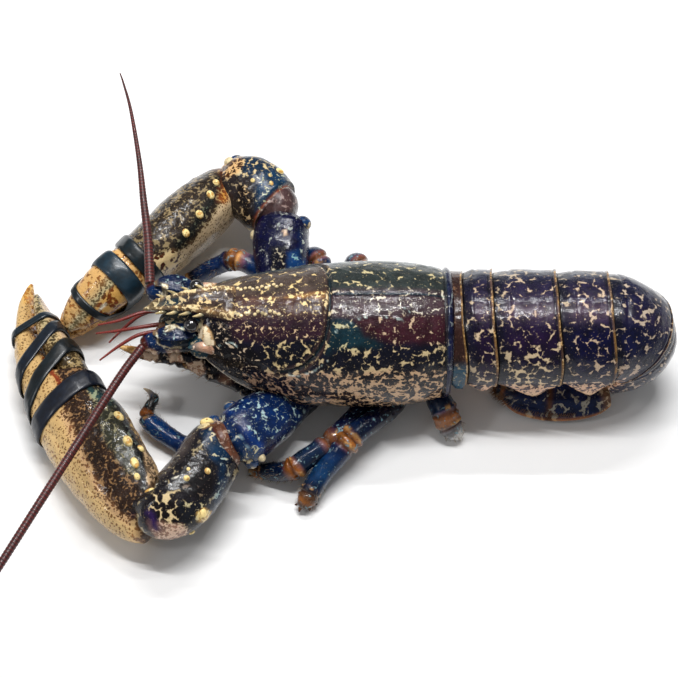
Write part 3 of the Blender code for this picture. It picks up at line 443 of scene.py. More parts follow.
def noise(points, size, seed=0):
    """Smooth random values from -1 to 1 with lumps of the given size in millimetres."""
    q = np.asarray(points, float) / size + 100.0
    cell = np.floor(q).astype(np.int64)
    f = q - cell
    f = f * f * (3 - 2 * f)
    out = 0.0
    for dx in (0, 1):
        for dy in (0, 1):
            for dz in (0, 1):
                w = (f[..., 0] if dx else 1 - f[..., 0]) * (f[..., 1] if dy else 1 - f[..., 1])
                w = w * (f[..., 2] if dz else 1 - f[..., 2])
                out = out + w * corner_value(cell + (dx, dy, dz), seed)
    return out


def rough(points, size, seed=0, octaves=3):
    """Noise with finer noise on top of it."""
    return sum(noise(points, size / 2**k, seed + k) * 0.5**k for k in range(octaves))


def curve_point(a, b, c, d, t):
    """The point at t from 0 to 1 between b and c, on a curve that also follows a and d."""
    square = (2 * a - 5 * b + 4 * c - d) * t**2
    cube = (3 * b - 3 * c + d - a) * t**3
    return 0.5 * (2 * b + (c - a) * t + square + cube)


def smooth_rows(rows, per_span):
    """Points on a curve through every row, per_span of them to each span."""
    rows = np.asarray(rows, float)
    padded = np.vstack([2 * rows[0] - rows[1], rows, 2 * rows[-1] - rows[-2]])
    out = []
    for k in range(len(rows) - 1):
        a, b, c, d = padded[k : k + 4]
        for step in range(per_span):
            out.append(curve_point(a, b, c, d, step / per_span))
    out.append(rows[-1])
    return np.array(out)


def even_rows(rows, step, dims=3):
    """Rows on the curve at even steps, and the row number that each stands at."""
    dense = smooth_rows(rows, 16)
    number = np.linspace(0, len(rows) - 1, len(dense))
    gap = np.linalg.norm(np.diff(dense[:, :dims], axis=0), axis=1)
    along = np.concatenate([[0], np.cumsum(gap)])
    count = max(6, int(along[-1] / step) + 1)
    at = np.linspace(0, along[-1], count)
    out = np.column_stack([np.interp(at, along, dense[:, k]) for k in range(dense.shape[1])])
    return out, np.interp(at, along, number)


def smooth_loop(points, count):
    """A closed loop through the points, with count points evenly round it from the first one on."""
    points = np.asarray(points, float)
    n = len(points)
    out = []
    for k in range(n):
        a, b, c, d = points[k - 1], points[k], points[(k + 1) % n], points[(k + 2) % n]
        for step in range(8):
            out.append(curve_point(a, b, c, d, step / 8))
    out.append(points[0])
    out = np.array(out)
    along = np.concatenate([[0], np.cumsum(np.linalg.norm(np.diff(out, axis=0), axis=1))])
    at = np.arange(count) * along[-1] / count
    return np.column_stack([np.interp(at, along, out[:, 0]), np.interp(at, along, out[:, 1])])


def oval(around, power):
    """Points round an oval that is squarer the higher its power."""
    angle = np.arange(around) * 2 * math.pi / around
    c, s = np.cos(angle), np.sin(angle)
    return np.sign(c) * abs(c) ** (2 / power), np.sign(s) * abs(s) ** (2 / power)


def limb(rows, side, around, step, power=2.2):
    """Rings of a limb, the row number of each ring, and each ring's middle."""
    rows = [row if len(row) == 5 else (*row, row[3]) for row in rows]
    line, number = even_rows(rows, step)
    centre = line[:, :3]
    ahead = np.gradient(centre, axis=0)
    c, s = oval(around, power)
    rings = []
    for p, t, (wide, thick) in zip(centre, ahead, np.maximum(line[:, 3:5], 0.12)):
        t = unit(t)
        w = unit(np.asarray(side, float) - np.dot(side, t) * t)
        n = np.cross(t, w)
        rings.append(p + wide * c[:, None] * w + thick * s[:, None] * n)
    return np.array(rings), number, centre


def claw(rows, around, step, power=2.25):
    """Rings of a claw between its outer and inner edge lines."""
    flat = [(*outer, *inner, thick) for outer, inner, thick in rows]
    line, number = even_rows(flat, step, 6)
    centre = (line[:, :3] + line[:, 3:6]) / 2
    ahead = np.gradient(centre, axis=0)
    c, s = oval(around, power)
    rings = []
    for row, p, t in zip(line, centre, ahead):
        half = (row[3:6] - row[:3]) / 2
        n = unit(np.cross(unit(t), unit(half)))
        rings.append(p + c[:, None] * half + max(row[6], 0.3) * s[:, None] * n)
    return np.array(rings), number, centre


def edge_claw_rows(rows):
    """Outer and inner edge points of a claw given by middle points and reaches."""
    side = np.array(RIGHT_SIDE)
    out = []
    for middle, outer, inner, thick in rows:
        middle = np.array(middle)
        out.append((tuple(middle - side * outer), tuple(middle + side * inner), thick))
    return out


def normals(rings):
    """Outward directions on a grid of rings."""
    along = np.gradient(rings, axis=0)
    across = (np.roll(rings, -1, 1) - np.roll(rings, 1, 1)) / 2
    n = np.cross(across, along)
    n /= np.maximum(np.linalg.norm(n, axis=2, keepdims=True), 1e-9)
    out = rings - rings.mean(1, keepdims=True)
    return n if (out * n).sum() > 0 else -n


def domed(rings, fields, bulge, steps=5):
    """Adds rings that close both ends as domes; every field repeats its end values."""
    for end in (0, -1):
        ring = rings[end]
        middle = ring.mean(0)
        inner = rings[1 if end == 0 else -2].mean(0)
        reach = np.linalg.norm(ring - middle, axis=1).mean() * bulge[0 if end == 0 else 1]
        out = unit(middle - inner) * reach
        extra = []
        for k in range(1, steps + 1):
            a = k / (steps + 0.35) * math.pi / 2
            extra.append(middle + (ring - middle) * math.cos(a) + out * math.sin(a))
        if end == 0:
            rings = np.concatenate([np.array(extra[::-1]), rings])
            fields = {key: np.concatenate([np.repeat(f[:1], steps, 0), f]) for key, f in fields.items()}
        else:
            rings = np.concatenate([rings, np.array(extra)])
            fields = {key: np.concatenate([f, np.repeat(f[-1:], steps, 0)]) for key, f in fields.items()}
    return rings, fields


def write_mesh(name, points, faces, fields, material, nodes=()):
    """A piece from points in millimetres, with its painted fields, riding on the root."""
    points = points + SHIFT
    points[:, 2] = np.maximum(points[:, 2], FLOOR_LEVEL + 0.01 * (points[:, 2] - FLOOR_LEVEL) + 0.02)
    mesh = bpy.data.meshes.new(name)
    mesh.from_pydata([tuple(p) for p in points * MM], [], faces)
    for key, values in fields.items():
        flat = np.ones((len(points), 4))
        flat[:, :3] = values
        layer = mesh.attributes.new(key, "FLOAT_COLOR", "POINT")
        layer.data.foreach_set("color", flat.ravel())
    work = bmesh.new()
    work.from_mesh(mesh)
    bmesh.ops.recalc_face_normals(work, faces=work.faces)
    work.to_mesh(mesh)
    work.free()
    mesh.polygons.foreach_set("use_smooth", [True] * len(mesh.polygons))
    mesh.materials.append(material)
    piece = bpy.data.objects.new(name, mesh)
    bpy.context.scene.collection.objects.link(piece)
    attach(piece, "root")
    if nodes:
        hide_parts(*nodes)
    return piece


def grid_faces(count, around, start=0):
    """Faces of a closed loft whose two end points follow its rings."""
    faces = []
    for i in range(count - 1):
        a = start + i * around
        for j in range(around):
            k = (j + 1) % around
            faces.append((a + j, a + k, a + around + k, a + around + j))
    first, last = start + count * around, start + count * around + 1
    for j in range(around):
        k = (j + 1) % around
        faces.append((first, start + k, start + j))
        faces.append((last, start + (count - 1) * around + j, start + (count - 1) * around + k))
    return faces


def skin(name, rings, fields, material, nodes=(), bulge=(0.5, 0.5)):
    """A closed piece over rings. Fields are grids: tint and pale colours, and mark (cover, speckle, gloss)."""
    rings, fields = domed(rings, fields, bulge)
    count, around = rings.shape[:2]
    ends = np.array([rings[0].mean(0), rings[-1].mean(0)])
    points = np.vstack([rings.reshape(-1, 3), ends])
    flat = {k: np.vstack([f.reshape(-1, 3), f[0].mean(0), f[-1].mean(0)]) for k, f in fields.items()}
    return write_mesh(name, points, grid_faces(count, around), flat, material, nodes)


def lumps(name, shapes, material):
    """One piece made of several closed loft shapes, each with its own plain fields."""
    points, faces, fields = [], [], {"tint": [], "pale": [], "mark": []}
    start = 0
    for rings, tint, pale, mark in shapes:
        count, around = rings.shape[:2]
        ends = np.array([rings[0].mean(0), rings[-1].mean(0)])
        points.append(np.vstack([rings.reshape(-1, 3), ends]))
        faces += grid_faces(count, around, start)
        total = count * around + 2
        for key, value in (("tint", tint), ("pale", pale), ("mark", mark)):
            value = np.asarray(value, float)
            if value.ndim == 1:
                value = np.repeat(value[None], total, 0)
            else:
                value = np.repeat(value, around, 0)
                value = np.vstack([value, value[:1], value[-1:]])
            fields[key].append(value)
        start += total
    flat = {key: np.vstack(v) for key, v in fields.items()}
    return write_mesh(name, np.vstack(points), faces, flat, material)


def bead(at, out, radius, height, seed, around=14, steps=9):
    """A low rounded lump standing on a skin, as rings along its outward direction."""
    out = unit(out)
    side = unit(np.cross(out, (0.3, 0.5, 0.8)))
    other = np.cross(out, side)
    angle = np.arange(around) * 2 * math.pi / around
    rings = []
    for k in range(steps):
        a = (k / (steps - 1)) * math.pi * 0.96 + 0.06
        reach, lift = radius * math.sin(a), -height * math.cos(a)
        ring = at + lift * out + reach * (np.cos(angle)[:, None] * side + np.sin(angle)[:, None] * other)
        rings.append(ring)
    rings = np.array(rings)
    return rings + (0.10 * radius * noise(rings, radius * 1.3, seed))[..., None] * out


def horn(base, tip, radius, sag=(0, 0, 0), around=10, steps=12, blunt=0.10):
    """A tapering thorn from base to tip, bowed by sag in the middle."""
    base, tip, sag = (np.asarray(v, float) for v in (base, tip, sag))
    t = np.linspace(0, 1, steps)
    centre = base + (tip - base) * t[:, None] + sag * (4 * t * (1 - t))[:, None]
    size = radius * ((1 - t) ** 0.75 * (1 - blunt) + blunt)
    size[-1] = radius * blunt * 0.4
    ahead = unit(tip - base)
    side = unit(np.cross(ahead, (0.31, 0.53, 0.79)))
    other = np.cross(ahead, side)
    angle = np.arange(around) * 2 * math.pi / around
    ring = np.cos(angle)[:, None] * side + np.sin(angle)[:, None] * other
    return centre[:, None] + size[:, None, None] * ring[None]


def bristles(name, roots, ways, length, radius, colour, tip_colour, seed, material, bend=0.25):
    """Fine hairs, each a three-sided closed thread that tapers to its tip."""
    pick = np.random.default_rng(seed)
    shapes = []
    low, high = linear(colour), linear(tip_colour)
    for root, way in zip(roots, ways):
        way = unit(way) + pick.normal(0, 0.16, 3)
        long = length * pick.uniform(0.6, 1.15)
        tip = root + unit(way) * long
        sag = pick.normal(0, bend, 3) * long * 0.3
        rings = horn(root - unit(way) * 0.3, tip, radius, sag, 3, 4, 0.25)
        tone = low + (high - low) * np.linspace(0, 1, 4)[:, None] * pick.uniform(0.4, 1.0)
        shapes.append((rings, tone, tone, (0.0, 0.0, 0.3)))
    return lumps(name, shapes, material)


def fields_like(rings, tint, pale, cover, speckle=0.3, gloss=0.5):
    """The three painted fields of a grid from colours and amounts that may vary over it."""
    shape = rings.shape[:2]
    def colour(c):
        c = np.asarray(c, float)
        return np.broadcast_to(c, (*shape, 3)).copy()
    mark = np.stack([np.broadcast_to(np.asarray(v, float), shape) for v in (cover, speckle, gloss)], 2)
    return {"tint": colour(tint), "pale": colour(pale), "mark": mark.copy()}


def base_coat(rings, tint, pale, cover, speckle=0.3, gloss=0.5):
    """The painted fields of a grid in one sRGB ground colour and one mark colour."""
    return fields_like(rings, linear(tint), linear(pale), cover, speckle, gloss)


def math_node(tree, kind, a, b=None, c=None, clamp=False):
    node = tree.nodes.new("ShaderNodeMath")
    node.operation = kind
    node.use_clamp = clamp
    for k, value in enumerate((a, b, c)):
        if value is None:
            continue
        if isinstance(value, (int, float)):
            node.inputs[k].default_value = value
        else:
            tree.links.new(value, node.inputs[k])
    return node.outputs[0]


def mix_colour(tree, fac, a, b, kind="MIX"):
    node = tree.nodes.new("ShaderNodeMix")
    node.data_type = "RGBA"
    node.blend_type = kind
    node.clamp_factor = True
    for index, value in ((0, fac), (6, a), (7, b)):
        if isinstance(value, (int, float)):
            node.inputs[index].default_value = value
        elif isinstance(value, tuple):
            node.inputs[index].default_value = (*value, 1.0)
        else:
            tree.links.new(value, node.inputs[index])
    return node.outputs[2]


def texture(tree, kind, vector, scale, **more):
    node = tree.nodes.new(kind)
    tree.links.new(vector, node.inputs["Vector"])
    node.inputs["Scale"].default_value = scale
    for key, value in more.items():
        if key in ("feature", "distance", "voronoi_dimensions", "noise_dimensions"):
            setattr(node, key, value)
        else:
            node.inputs[key.replace("_", " ").title()].default_value = value
    return node


def soft_step(tree, value, edge, width):
    """0 well below the edge, 1 well above it."""
    low = math_node(tree, "SUBTRACT", value, edge)
    return math_node(tree, "MULTIPLY_ADD", low, 1.0 / width, 0.5, clamp=True)


# Marks stand where the pattern's height is over a limit. The limit falls with cover, and it wanders from patch to patch
LIMIT_MIDDLE, LIMIT_WANDER = 0.70, -0.14
COVER_POWER, COVER_FALL, COVER_START = 1.4, -0.62, 0.21
MIXED_CELLS_FALL = -1.2
NO_MARKS_UNDER = 1 / 16
MARK_EDGE, RIM_WIDTH, RIM_EDGE = 0.055, 0.055, 0.05
RIM_BROWN = (0.045, 0.020, 0.010)
RIM_SHARE, RIM_BROWN_SHARE = 0.7, 0.36
# Pale dots at the pores: partly the granules' own pale colour, partly painted glints of light on them
PORE_RADIUS, PORE_EDGE = 0.28, 0.16

# The thin film of water on the shell, and how high the bumps stand in metres
WET_FILM = {"Specular IOR Level": 0.10, "Coat Weight": 0.68, "Coat Roughness": 0.05, "Coat IOR": 1.34}
SHELL_RELIEF = 0.0006
PLAIN_RELIEF = 0.0004


def speckle(tree, vector, scale, detail, roughness):
    """A noise texture's values, with scale in lumps per millimetre."""
    return texture(tree, "ShaderNodeTexNoise", vector, scale, Detail=detail, Roughness=roughness).outputs["Fac"]


def painted(tree, key):
    """A field that the mesh carries, as a colour."""
    node = tree.nodes.new("ShaderNodeAttribute")
    node.attribute_name = key
    return node.outputs["Color"]


def add_relief(tree, height, strength, distance, socket):
    node = tree.nodes.new("ShaderNodeBump")
    node.inputs["Strength"].default_value = strength
    node.inputs["Distance"].default_value = distance
    tree.links.new(height, node.inputs["Height"])
    tree.links.new(node.outputs["Normal"], socket)


def new_material(name):
    """A material, its node tree, its shader and the place on the object in millimetres."""
    material = bpy.data.materials.new(name)
    material.use_nodes = True
    tree = material.node_tree
    place = tree.nodes.new("ShaderNodeTexCoord").outputs["Object"]
    big = tree.nodes.new("ShaderNodeVectorMath")
    big.operation = "SCALE"
    big.inputs["Scale"].default_value = 1 / MM
    tree.links.new(place, big.inputs[0])
    return material, tree, tree.nodes["Principled BSDF"], big.outputs[0]


def shell_material(name, coarse, fine, warp, roughness, bump=0.4, glints=0.5):
    """Mottled wet shell. coarse and fine are the pattern's cells per millimetre, warp is in millimetres."""
    material, tree, shader, mm = new_material(name)

    def bend(vector, size, amount, detail):
        stir = texture(tree, "ShaderNodeTexNoise", mm, size, Detail=detail, Roughness=0.6)
        push = tree.nodes.new("ShaderNodeVectorMath")
        push.operation = "MULTIPLY_ADD"
        tree.links.new(stir.outputs["Color"], push.inputs[0])
        push.inputs[1].default_value = (amount,) * 3
        tree.links.new(vector, push.inputs[2])
        return push.outputs[0]

    bent = bend(bend(mm, 0.16, warp * 2.2, 1.0), 0.7, warp * 0.55, 1.0)

    tint, pale, mark = (painted(tree, key) for key in ("tint", "pale", "mark"))
    split = tree.nodes.new("ShaderNodeSeparateColor")
    tree.links.new(mark, split.inputs[0])
    cover, fineness, gloss = split.outputs[0], split.outputs[1], split.outputs[2]

    def cells(vector, scale):
        return texture(tree, "ShaderNodeTexVoronoi", vector, scale, feature="F1",
            Randomness=1.0).outputs["Distance"]

    wide, small = cells(bent, coarse), cells(bent, fine)
    step = math_node(tree, "MULTIPLY", math_node(tree, "SUBTRACT", small, wide), fineness)
    field = math_node(tree, "ADD", wide, step)
    ragged = speckle(tree, mm, 1.5, 3.0, 0.6)
    field = math_node(tree, "ADD", field, math_node(tree, "MULTIPLY_ADD", ragged, 0.24, -0.12))
    patch = speckle(tree, mm, 0.075, 2.0, 0.5)
    share = math_node(tree, "POWER", cover, COVER_POWER)
    spread = math_node(tree, "MULTIPLY_ADD", share, COVER_FALL, COVER_START)
    both = math_node(tree, "MULTIPLY", fineness, math_node(tree, "SUBTRACT", 1.0, fineness))
    spread = math_node(tree, "MULTIPLY", spread, math_node(tree, "MULTIPLY_ADD", both, MIXED_CELLS_FALL, 1.0))
    limit = math_node(tree, "MULTIPLY_ADD", patch, LIMIT_WANDER, LIMIT_MIDDLE)
    limit = math_node(tree, "ADD", limit, spread)
    bare = math_node(tree, "SUBTRACT", 1.0, math_node(tree, "MULTIPLY", cover, 1 / NO_MARKS_UNDER, clamp=True))
    limit = math_node(tree, "ADD", limit, bare)
    marks = soft_step(tree, field, limit, MARK_EDGE)
    rims = soft_step(tree, field, math_node(tree, "SUBTRACT", limit, RIM_WIDTH), RIM_EDGE)

    tone = speckle(tree, mm, 0.20, 4.0, 0.62)
    shade = math_node(tree, "MULTIPLY_ADD", tone, 2.6, -0.3)
    ground = mix_colour(tree, 1.0, tint, shade, "MULTIPLY")
    sand = speckle(tree, mm, 2.4, 2.0, 0.7)
    sandy = math_node(tree, "MULTIPLY_ADD", sand, 1.5, 0.25)
    ground = mix_colour(tree, 0.75, ground, sandy, "MULTIPLY")
    pale_tone = mix_colour(tree, 0.45, pale, sandy, "MULTIPLY")
    brown = mix_colour(tree, RIM_BROWN_SHARE, RIM_BROWN, pale)
    colour = mix_colour(tree, math_node(tree, "MULTIPLY", rims, RIM_SHARE), ground, brown)
    colour = mix_colour(tree, marks, colour, pale_tone)

    # Pale dots at the pores, more where the speckle field is high and scaled by glints: partly the granules' own pale
    # colour, partly painted glints of light on them. The same dots sink the bump.
    pores = texture(tree, "ShaderNodeTexVoronoi", mm, 1.15, feature="F1", Randomness=1.0)
    chance = tree.nodes.new("ShaderNodeSeparateColor")
    tree.links.new(pores.outputs["Color"], chance.inputs[0])
    dot = math_node(tree, "SUBTRACT", 1.0, soft_step(tree, pores.outputs["Distance"], PORE_RADIUS, PORE_EDGE),
        clamp=True)
    some = soft_step(tree, chance.outputs[0], math_node(tree, "MULTIPLY_ADD", fineness, -0.55, 0.92), 0.1)
    pore_glint_dot = math_node(tree, "MULTIPLY", math_node(tree, "MULTIPLY", dot, some), glints)
    colour = mix_colour(tree, pore_glint_dot, colour, mix_colour(tree, 0.5, pale, ground))
    tree.links.new(colour, shader.inputs["Base Color"])

    uneven = speckle(tree, mm, 0.5, 3.0, 0.6)
    wet = math_node(tree, "MULTIPLY_ADD", uneven, 0.26, roughness - 0.13)
    wet = math_node(tree, "SUBTRACT", wet, math_node(tree, "MULTIPLY_ADD", gloss, 0.24, -0.12), clamp=True)
    tree.links.new(wet, shader.inputs["Roughness"])
    for key, value in WET_FILM.items():
        shader.inputs[key].default_value = value

    height = math_node(tree, "MULTIPLY_ADD", ragged, 0.5, math_node(tree, "MULTIPLY", sand, 0.5))
    height = math_node(tree, "SUBTRACT", height, math_node(tree, "MULTIPLY", dot, 0.35))
    height = math_node(tree, "MULTIPLY_ADD", uneven, 0.9, height)
    add_relief(tree, height, bump, SHELL_RELIEF, shader.inputs["Normal"])
    film = math_node(tree, "ADD", uneven, math_node(tree, "MULTIPLY", ragged, 0.4))
    add_relief(tree, film, 0.16, SHELL_RELIEF, shader.inputs["Coat Normal"])
    return material


def plain_material(name, roughness, coat=0.5, bump=0.2, size=1.2):
    """A painted surface with slight unevenness: eyes, bristles, feelers, membranes and bands."""
    material, tree, shader, mm = new_material(name)
    tint, pale = painted(tree, "tint"), painted(tree, "pale")
    tone = speckle(tree, mm, size, 4.0, 0.6)
    tree.links.new(mix_colour(tree, soft_step(tree, tone, 0.5, 0.25), tint, pale), shader.inputs["Base Color"])
    shader.inputs["Roughness"].default_value = roughness
    shader.inputs["Coat Weight"].default_value = coat
    shader.inputs["Coat Roughness"].default_value = 0.10
    add_relief(tree, tone, bump, PLAIN_RELIEF, shader.inputs["Normal"])
    return material


def stops(number, rows):
    """Colours in linear light at each ring number, from (number, sRGB colour) rows."""
    at = [row[0] for row in rows]
    table = np.array([linear(row[1]) for row in rows])
    return np.column_stack([np.interp(number, at, table[:, k]) for k in range(3)])


def paint_over(fields, weight, tint=None, pale=None, cover=None, speckle=None, gloss=None):
    """Moves the painted fields towards the given values by weight."""
    weight = np.clip(weight, 0, 1)
    w = weight[..., None]
    if tint is not None:
        fields["tint"] += (linear(tint) - fields["tint"]) * w
    if pale is not None:
        fields["pale"] += (linear(pale) - fields["pale"]) * w
    for index, value in ((0, cover), (1, speckle), (2, gloss)):
        if value is not None:
            fields["mark"][..., index] += (value - fields["mark"][..., index]) * weight


def seen_at(points):
    """Where points in millimetres stand in the photograph, in its pixels."""
    ray = points - VIEWPOINT
    depth = -(ray @ BACK)
    reach = DISTANCE / SCALE
    return PHOTO_MIDDLE + reach * ray[..., 0] / depth, PHOTO_MIDDLE - reach * (ray @ UP) / depth


def line_distance(x, y, line):
    """How far points are from a line of straight pieces."""
    near = np.full(x.shape, 1e9)
    for (ax, ay), (bx, by) in zip(line[:-1], line[1:]):
        dx, dy = bx - ax, by - ay
        t = np.clip(((x - ax) * dx + (y - ay) * dy) / max(dx * dx + dy * dy, 1e-9), 0, 1)
        near = np.minimum(near, np.hypot(x - ax - t * dx, y - ay - t * dy))
    return near


def region(x, y, corners, soft):
    """1 well inside an outline, 0 well outside it."""
    inside = np.zeros(x.shape, bool)
    for (ax, ay), (bx, by) in zip(corners, corners[1:] + corners[:1]):
        if ay != by:
            inside ^= ((ay > y) != (by > y)) & (x < (bx - ax) * (y - ay) / (by - ay) + ax)
    reach = line_distance(x, y, corners + corners[:1])
    return ramp(np.where(inside, reach, -reach), -soft, soft)


def paint_places(fields, grid, weight, rows, seed=0):
    """Paints outlines and lines placed in the photograph's pixels: (kind, points, size, paint)."""
    x, y = seen_at(grid)
    x = x + 1.6 * rough(grid, 2.6, 400 + seed, 2)
    y = y + 1.6 * rough(grid, 2.6, 450 + seed, 2)
    for kind, points, size, paint in rows:
        if kind == "area":
            amount = region(x, y, list(points), size)
        else:
            amount = np.exp(-((line_distance(x, y, points) / size) ** 2))
        # Broken lines, used for painted highlights along ridges and edges
        if kind == "dash":
            amount = amount * ramp(rough(grid, 1.3, 470 + seed, 2), -0.05, 0.12)
        paint_over(fields, amount * weight, *paint)


def facing(grid):
    """1 where a skin faces the camera's place, 0 where it is turned away."""
    away = VIEWPOINT - grid
    away /= np.linalg.norm(away, axis=-1, keepdims=True)
    return ramp((normals(grid) * away).sum(-1), -0.25, 0.05)


def seen_spot(grid, x, y):
    """The point of a skin that the photograph shows at a pixel, and the outward direction there."""
    px, py = seen_at(grid)
    index = int(np.argmin(np.hypot(px - x, py - y) + 1000 * (facing(grid) < 0.5)))
    return grid.reshape(-1, 3)[index], normals(grid).reshape(-1, 3)[index]


def carve(rings, depth):
    """Moves the skin outwards by depth, a grid in millimetres."""
    return rings + depth[..., None] * normals(rings)


def grain(rings, seed, coarse=0.22, fine=0.07):
    """The shell's slight unevenness in millimetres."""
    return coarse * rough(rings, 7.0, seed) + fine * rough(rings, 1.9, seed + 9, 2)


def spread(number, rings):
    """The row number of each ring, given to all its points."""
    return number[:, None] + np.zeros(rings.shape[:2])


def round_cosine(rings):
    """1 at a claw's inner edge, -1 at its outer edge, for all points of its rings."""
    around = rings.shape[1]
    return np.cos(np.arange(around) * 2 * math.pi / around)[None, :] + np.zeros(rings.shape[:2])


def nearest(rings, place):
    """The point of a grid nearest to a place, and the outward direction there."""
    flat = rings.reshape(-1, 3)
    index = int(np.argmin(((flat - np.asarray(place)) ** 2).sum(1)))
    return flat[index], normals(rings).reshape(-1, 3)[index]


def carapace_half(edge):
    """Half of a carapace ring of radius 1, whose side ends at the edge's angle."""
    points = [(math.sin(edge * i / 12), math.cos(edge * i / 12)) for i in range(13)]
    y, z = points[-1]
    points.append((y * 0.93, z - 0.015))
    points.append((y * 0.86, z + 0.01))
    points.append(((y * 0.84 + 0.52) / 2, (z + 0.02 - 0.78) / 2 - 0.02))
    points.append((0.50, -0.77))
    points.append((0.30, -0.80))
    points.append((0.0, -0.80))
    return np.array(points)


# Lines in the photograph's pixels: the groove across the back, and three low ridges that are raised and carry painted
# highlights
GROOVE = ((329, 266), (330, 297), (329, 312), (328, 324), (325, 338), (320, 348), (314, 357), (304, 366),
    (292, 371), (278, 372))
SCAR = ((332, 334), (341, 329), (350, 323), (361, 318), (374, 316), (390, 318), (403, 320), (410, 317), (409, 311),
    (400, 306))
BRANCH = ((289, 374), (297, 376), (305, 374), (314, 371), (322, 366), (328, 361))
CHEEK = ((219, 346), (226, 343), (233, 343), (239, 348))
CARAPACE_PAINT = (
    ("area", ((330, 318), (372, 322), (384, 352), (352, 366), (326, 356)), 5,
        ((12, 40, 50), (192, 186, 146), 0.12, 0.2)),
    ("area", ((348, 314), (454, 314), (454, 344), (400, 344), (366, 336)), 5,
        ((50, 18, 28), (200, 172, 142), 0.17, 0.35)),
    ("area", ((332, 350), (454, 344), (454, 372), (320, 376)), 5, ((9, 11, 26), (206, 184, 140), 0.36, 0.25)),
    ("area", ((300, 374), (456, 368), (456, 420), (260, 420)), 4, ((18, 12, 20), (204, 168, 132), 0.56, 0.45)),
    # The three areas below, along the top of the back: their high speckle strews many pale dots, partly painted glints
    # on the granules
    ("area", ((330, 296), (454, 296), (454, 314), (330, 318)), 3, ((60, 44, 50), (212, 204, 188), 0.20, 0.75, 0.8)),
    ("area", ((205, 296), (330, 296), (328, 318), (236, 322), (205, 314)), 3,
        ((66, 44, 40), (234, 208, 152), 0.30, 0.6, 0.7)),
    ("area", ((222, 318), (328, 316), (326, 336), (300, 346), (232, 340)), 4,
        ((40, 20, 32), (206, 176, 140), 0.13, 0.85, 0.7)),
    ("area", ((196, 324), (226, 322), (238, 344), (262, 352), (270, 400), (190, 372)), 4,
        ((7, 5, 12), (208, 186, 158), 0.20, 0.45)),
    ("area", ((262, 340), (326, 338), (324, 356), (300, 372), (262, 370)), 5,
        ((7, 10, 24), (200, 178, 132), 0.36, 0.3)),
    ("area", ((240, 372), (330, 372), (330, 420), (250, 420)), 4, ((18, 12, 24), (198, 160, 130), 0.50, 0.4)),
)


def make_carapace():
    """The back shell with its groove, scar ridges, painted areas and painted highlights along the ridges; gives its
    rings.
    """
    line, _ = even_rows([(x, w, h, m) for x, w, h, m in CARAPACE], CARAPACE_STEP, 1)
    rings, angles, edges, xs = [], [], [], []
    for x, wide, high, middle in line:
        edge = math.radians(np.interp(x, (-58, -48, -27, -12), (88, 96, 120, 131)))
        half = carapace_half(edge)
        loop = smooth_loop(np.vstack([half, half[-2:0:-1] * (-1, 1)]), CARAPACE_AROUND)
        angle = np.degrees(np.arctan2(abs(loop[:, 0]), loop[:, 1]))
        ahead = 13 * ramp(angle, 35, 100)
        near = math.exp(-(((x - CERVICAL_X) / 13) ** 2))
        rings.append(np.column_stack([x - ahead * near, wide * loop[:, 0], middle + high * loop[:, 1]]))
        angles.append(angle)
        edges.append(np.full(len(angle), math.degrees(edge)))
        xs.append(np.full(len(angle), x))
    rings, angle, edge, u = np.array(rings), np.array(angles), np.array(edges), np.array(xs)
    y = rings[..., 1].copy()
    near = rings.copy()
    near[..., 1] = -abs(near[..., 1])
    px, py = seen_at(near)
    upper = 1 - ramp(angle, 106, 114)
    groove = line_distance(px, py, GROOVE)
    depth = (-GROOVE_DEPTH * bell(groove, 0, GROOVE_WIDTH) + 0.40 * bell(groove, 3.6, 1.6)) * upper
    for line in (SCAR, BRANCH, CHEEK):
        depth += SCAR_RISE * bell(line_distance(px, py, line), 0, 1.0) * upper
    depth -= 0.45 * bell(y, 0, 0.6) * ramp(u, -5, 0) * (1 - ramp(u, 42, 44)) * (angle < 20)
    depth -= 0.55 * bell(u, REAR_GROOVE_X, 0.6) * upper
    depth += 0.35 * bell(u, 45.2, 0.9) * upper
    depth -= 0.7 * bell(angle, 84, 5) * bell(u, -30, 12)
    depth += 0.4 * bell(angle, 66, 12) * bell(u, -28, 12)
    depth += grain(rings, 3, 0.24, 0.08) * upper
    rings = carve(rings, depth)
    f = paint_carapace(rings, near, angle, edge, u, y, upper)
    skin("carapace_shell", rings, f, SHELL, ("carapace",), (0.0, 0.6))
    return rings


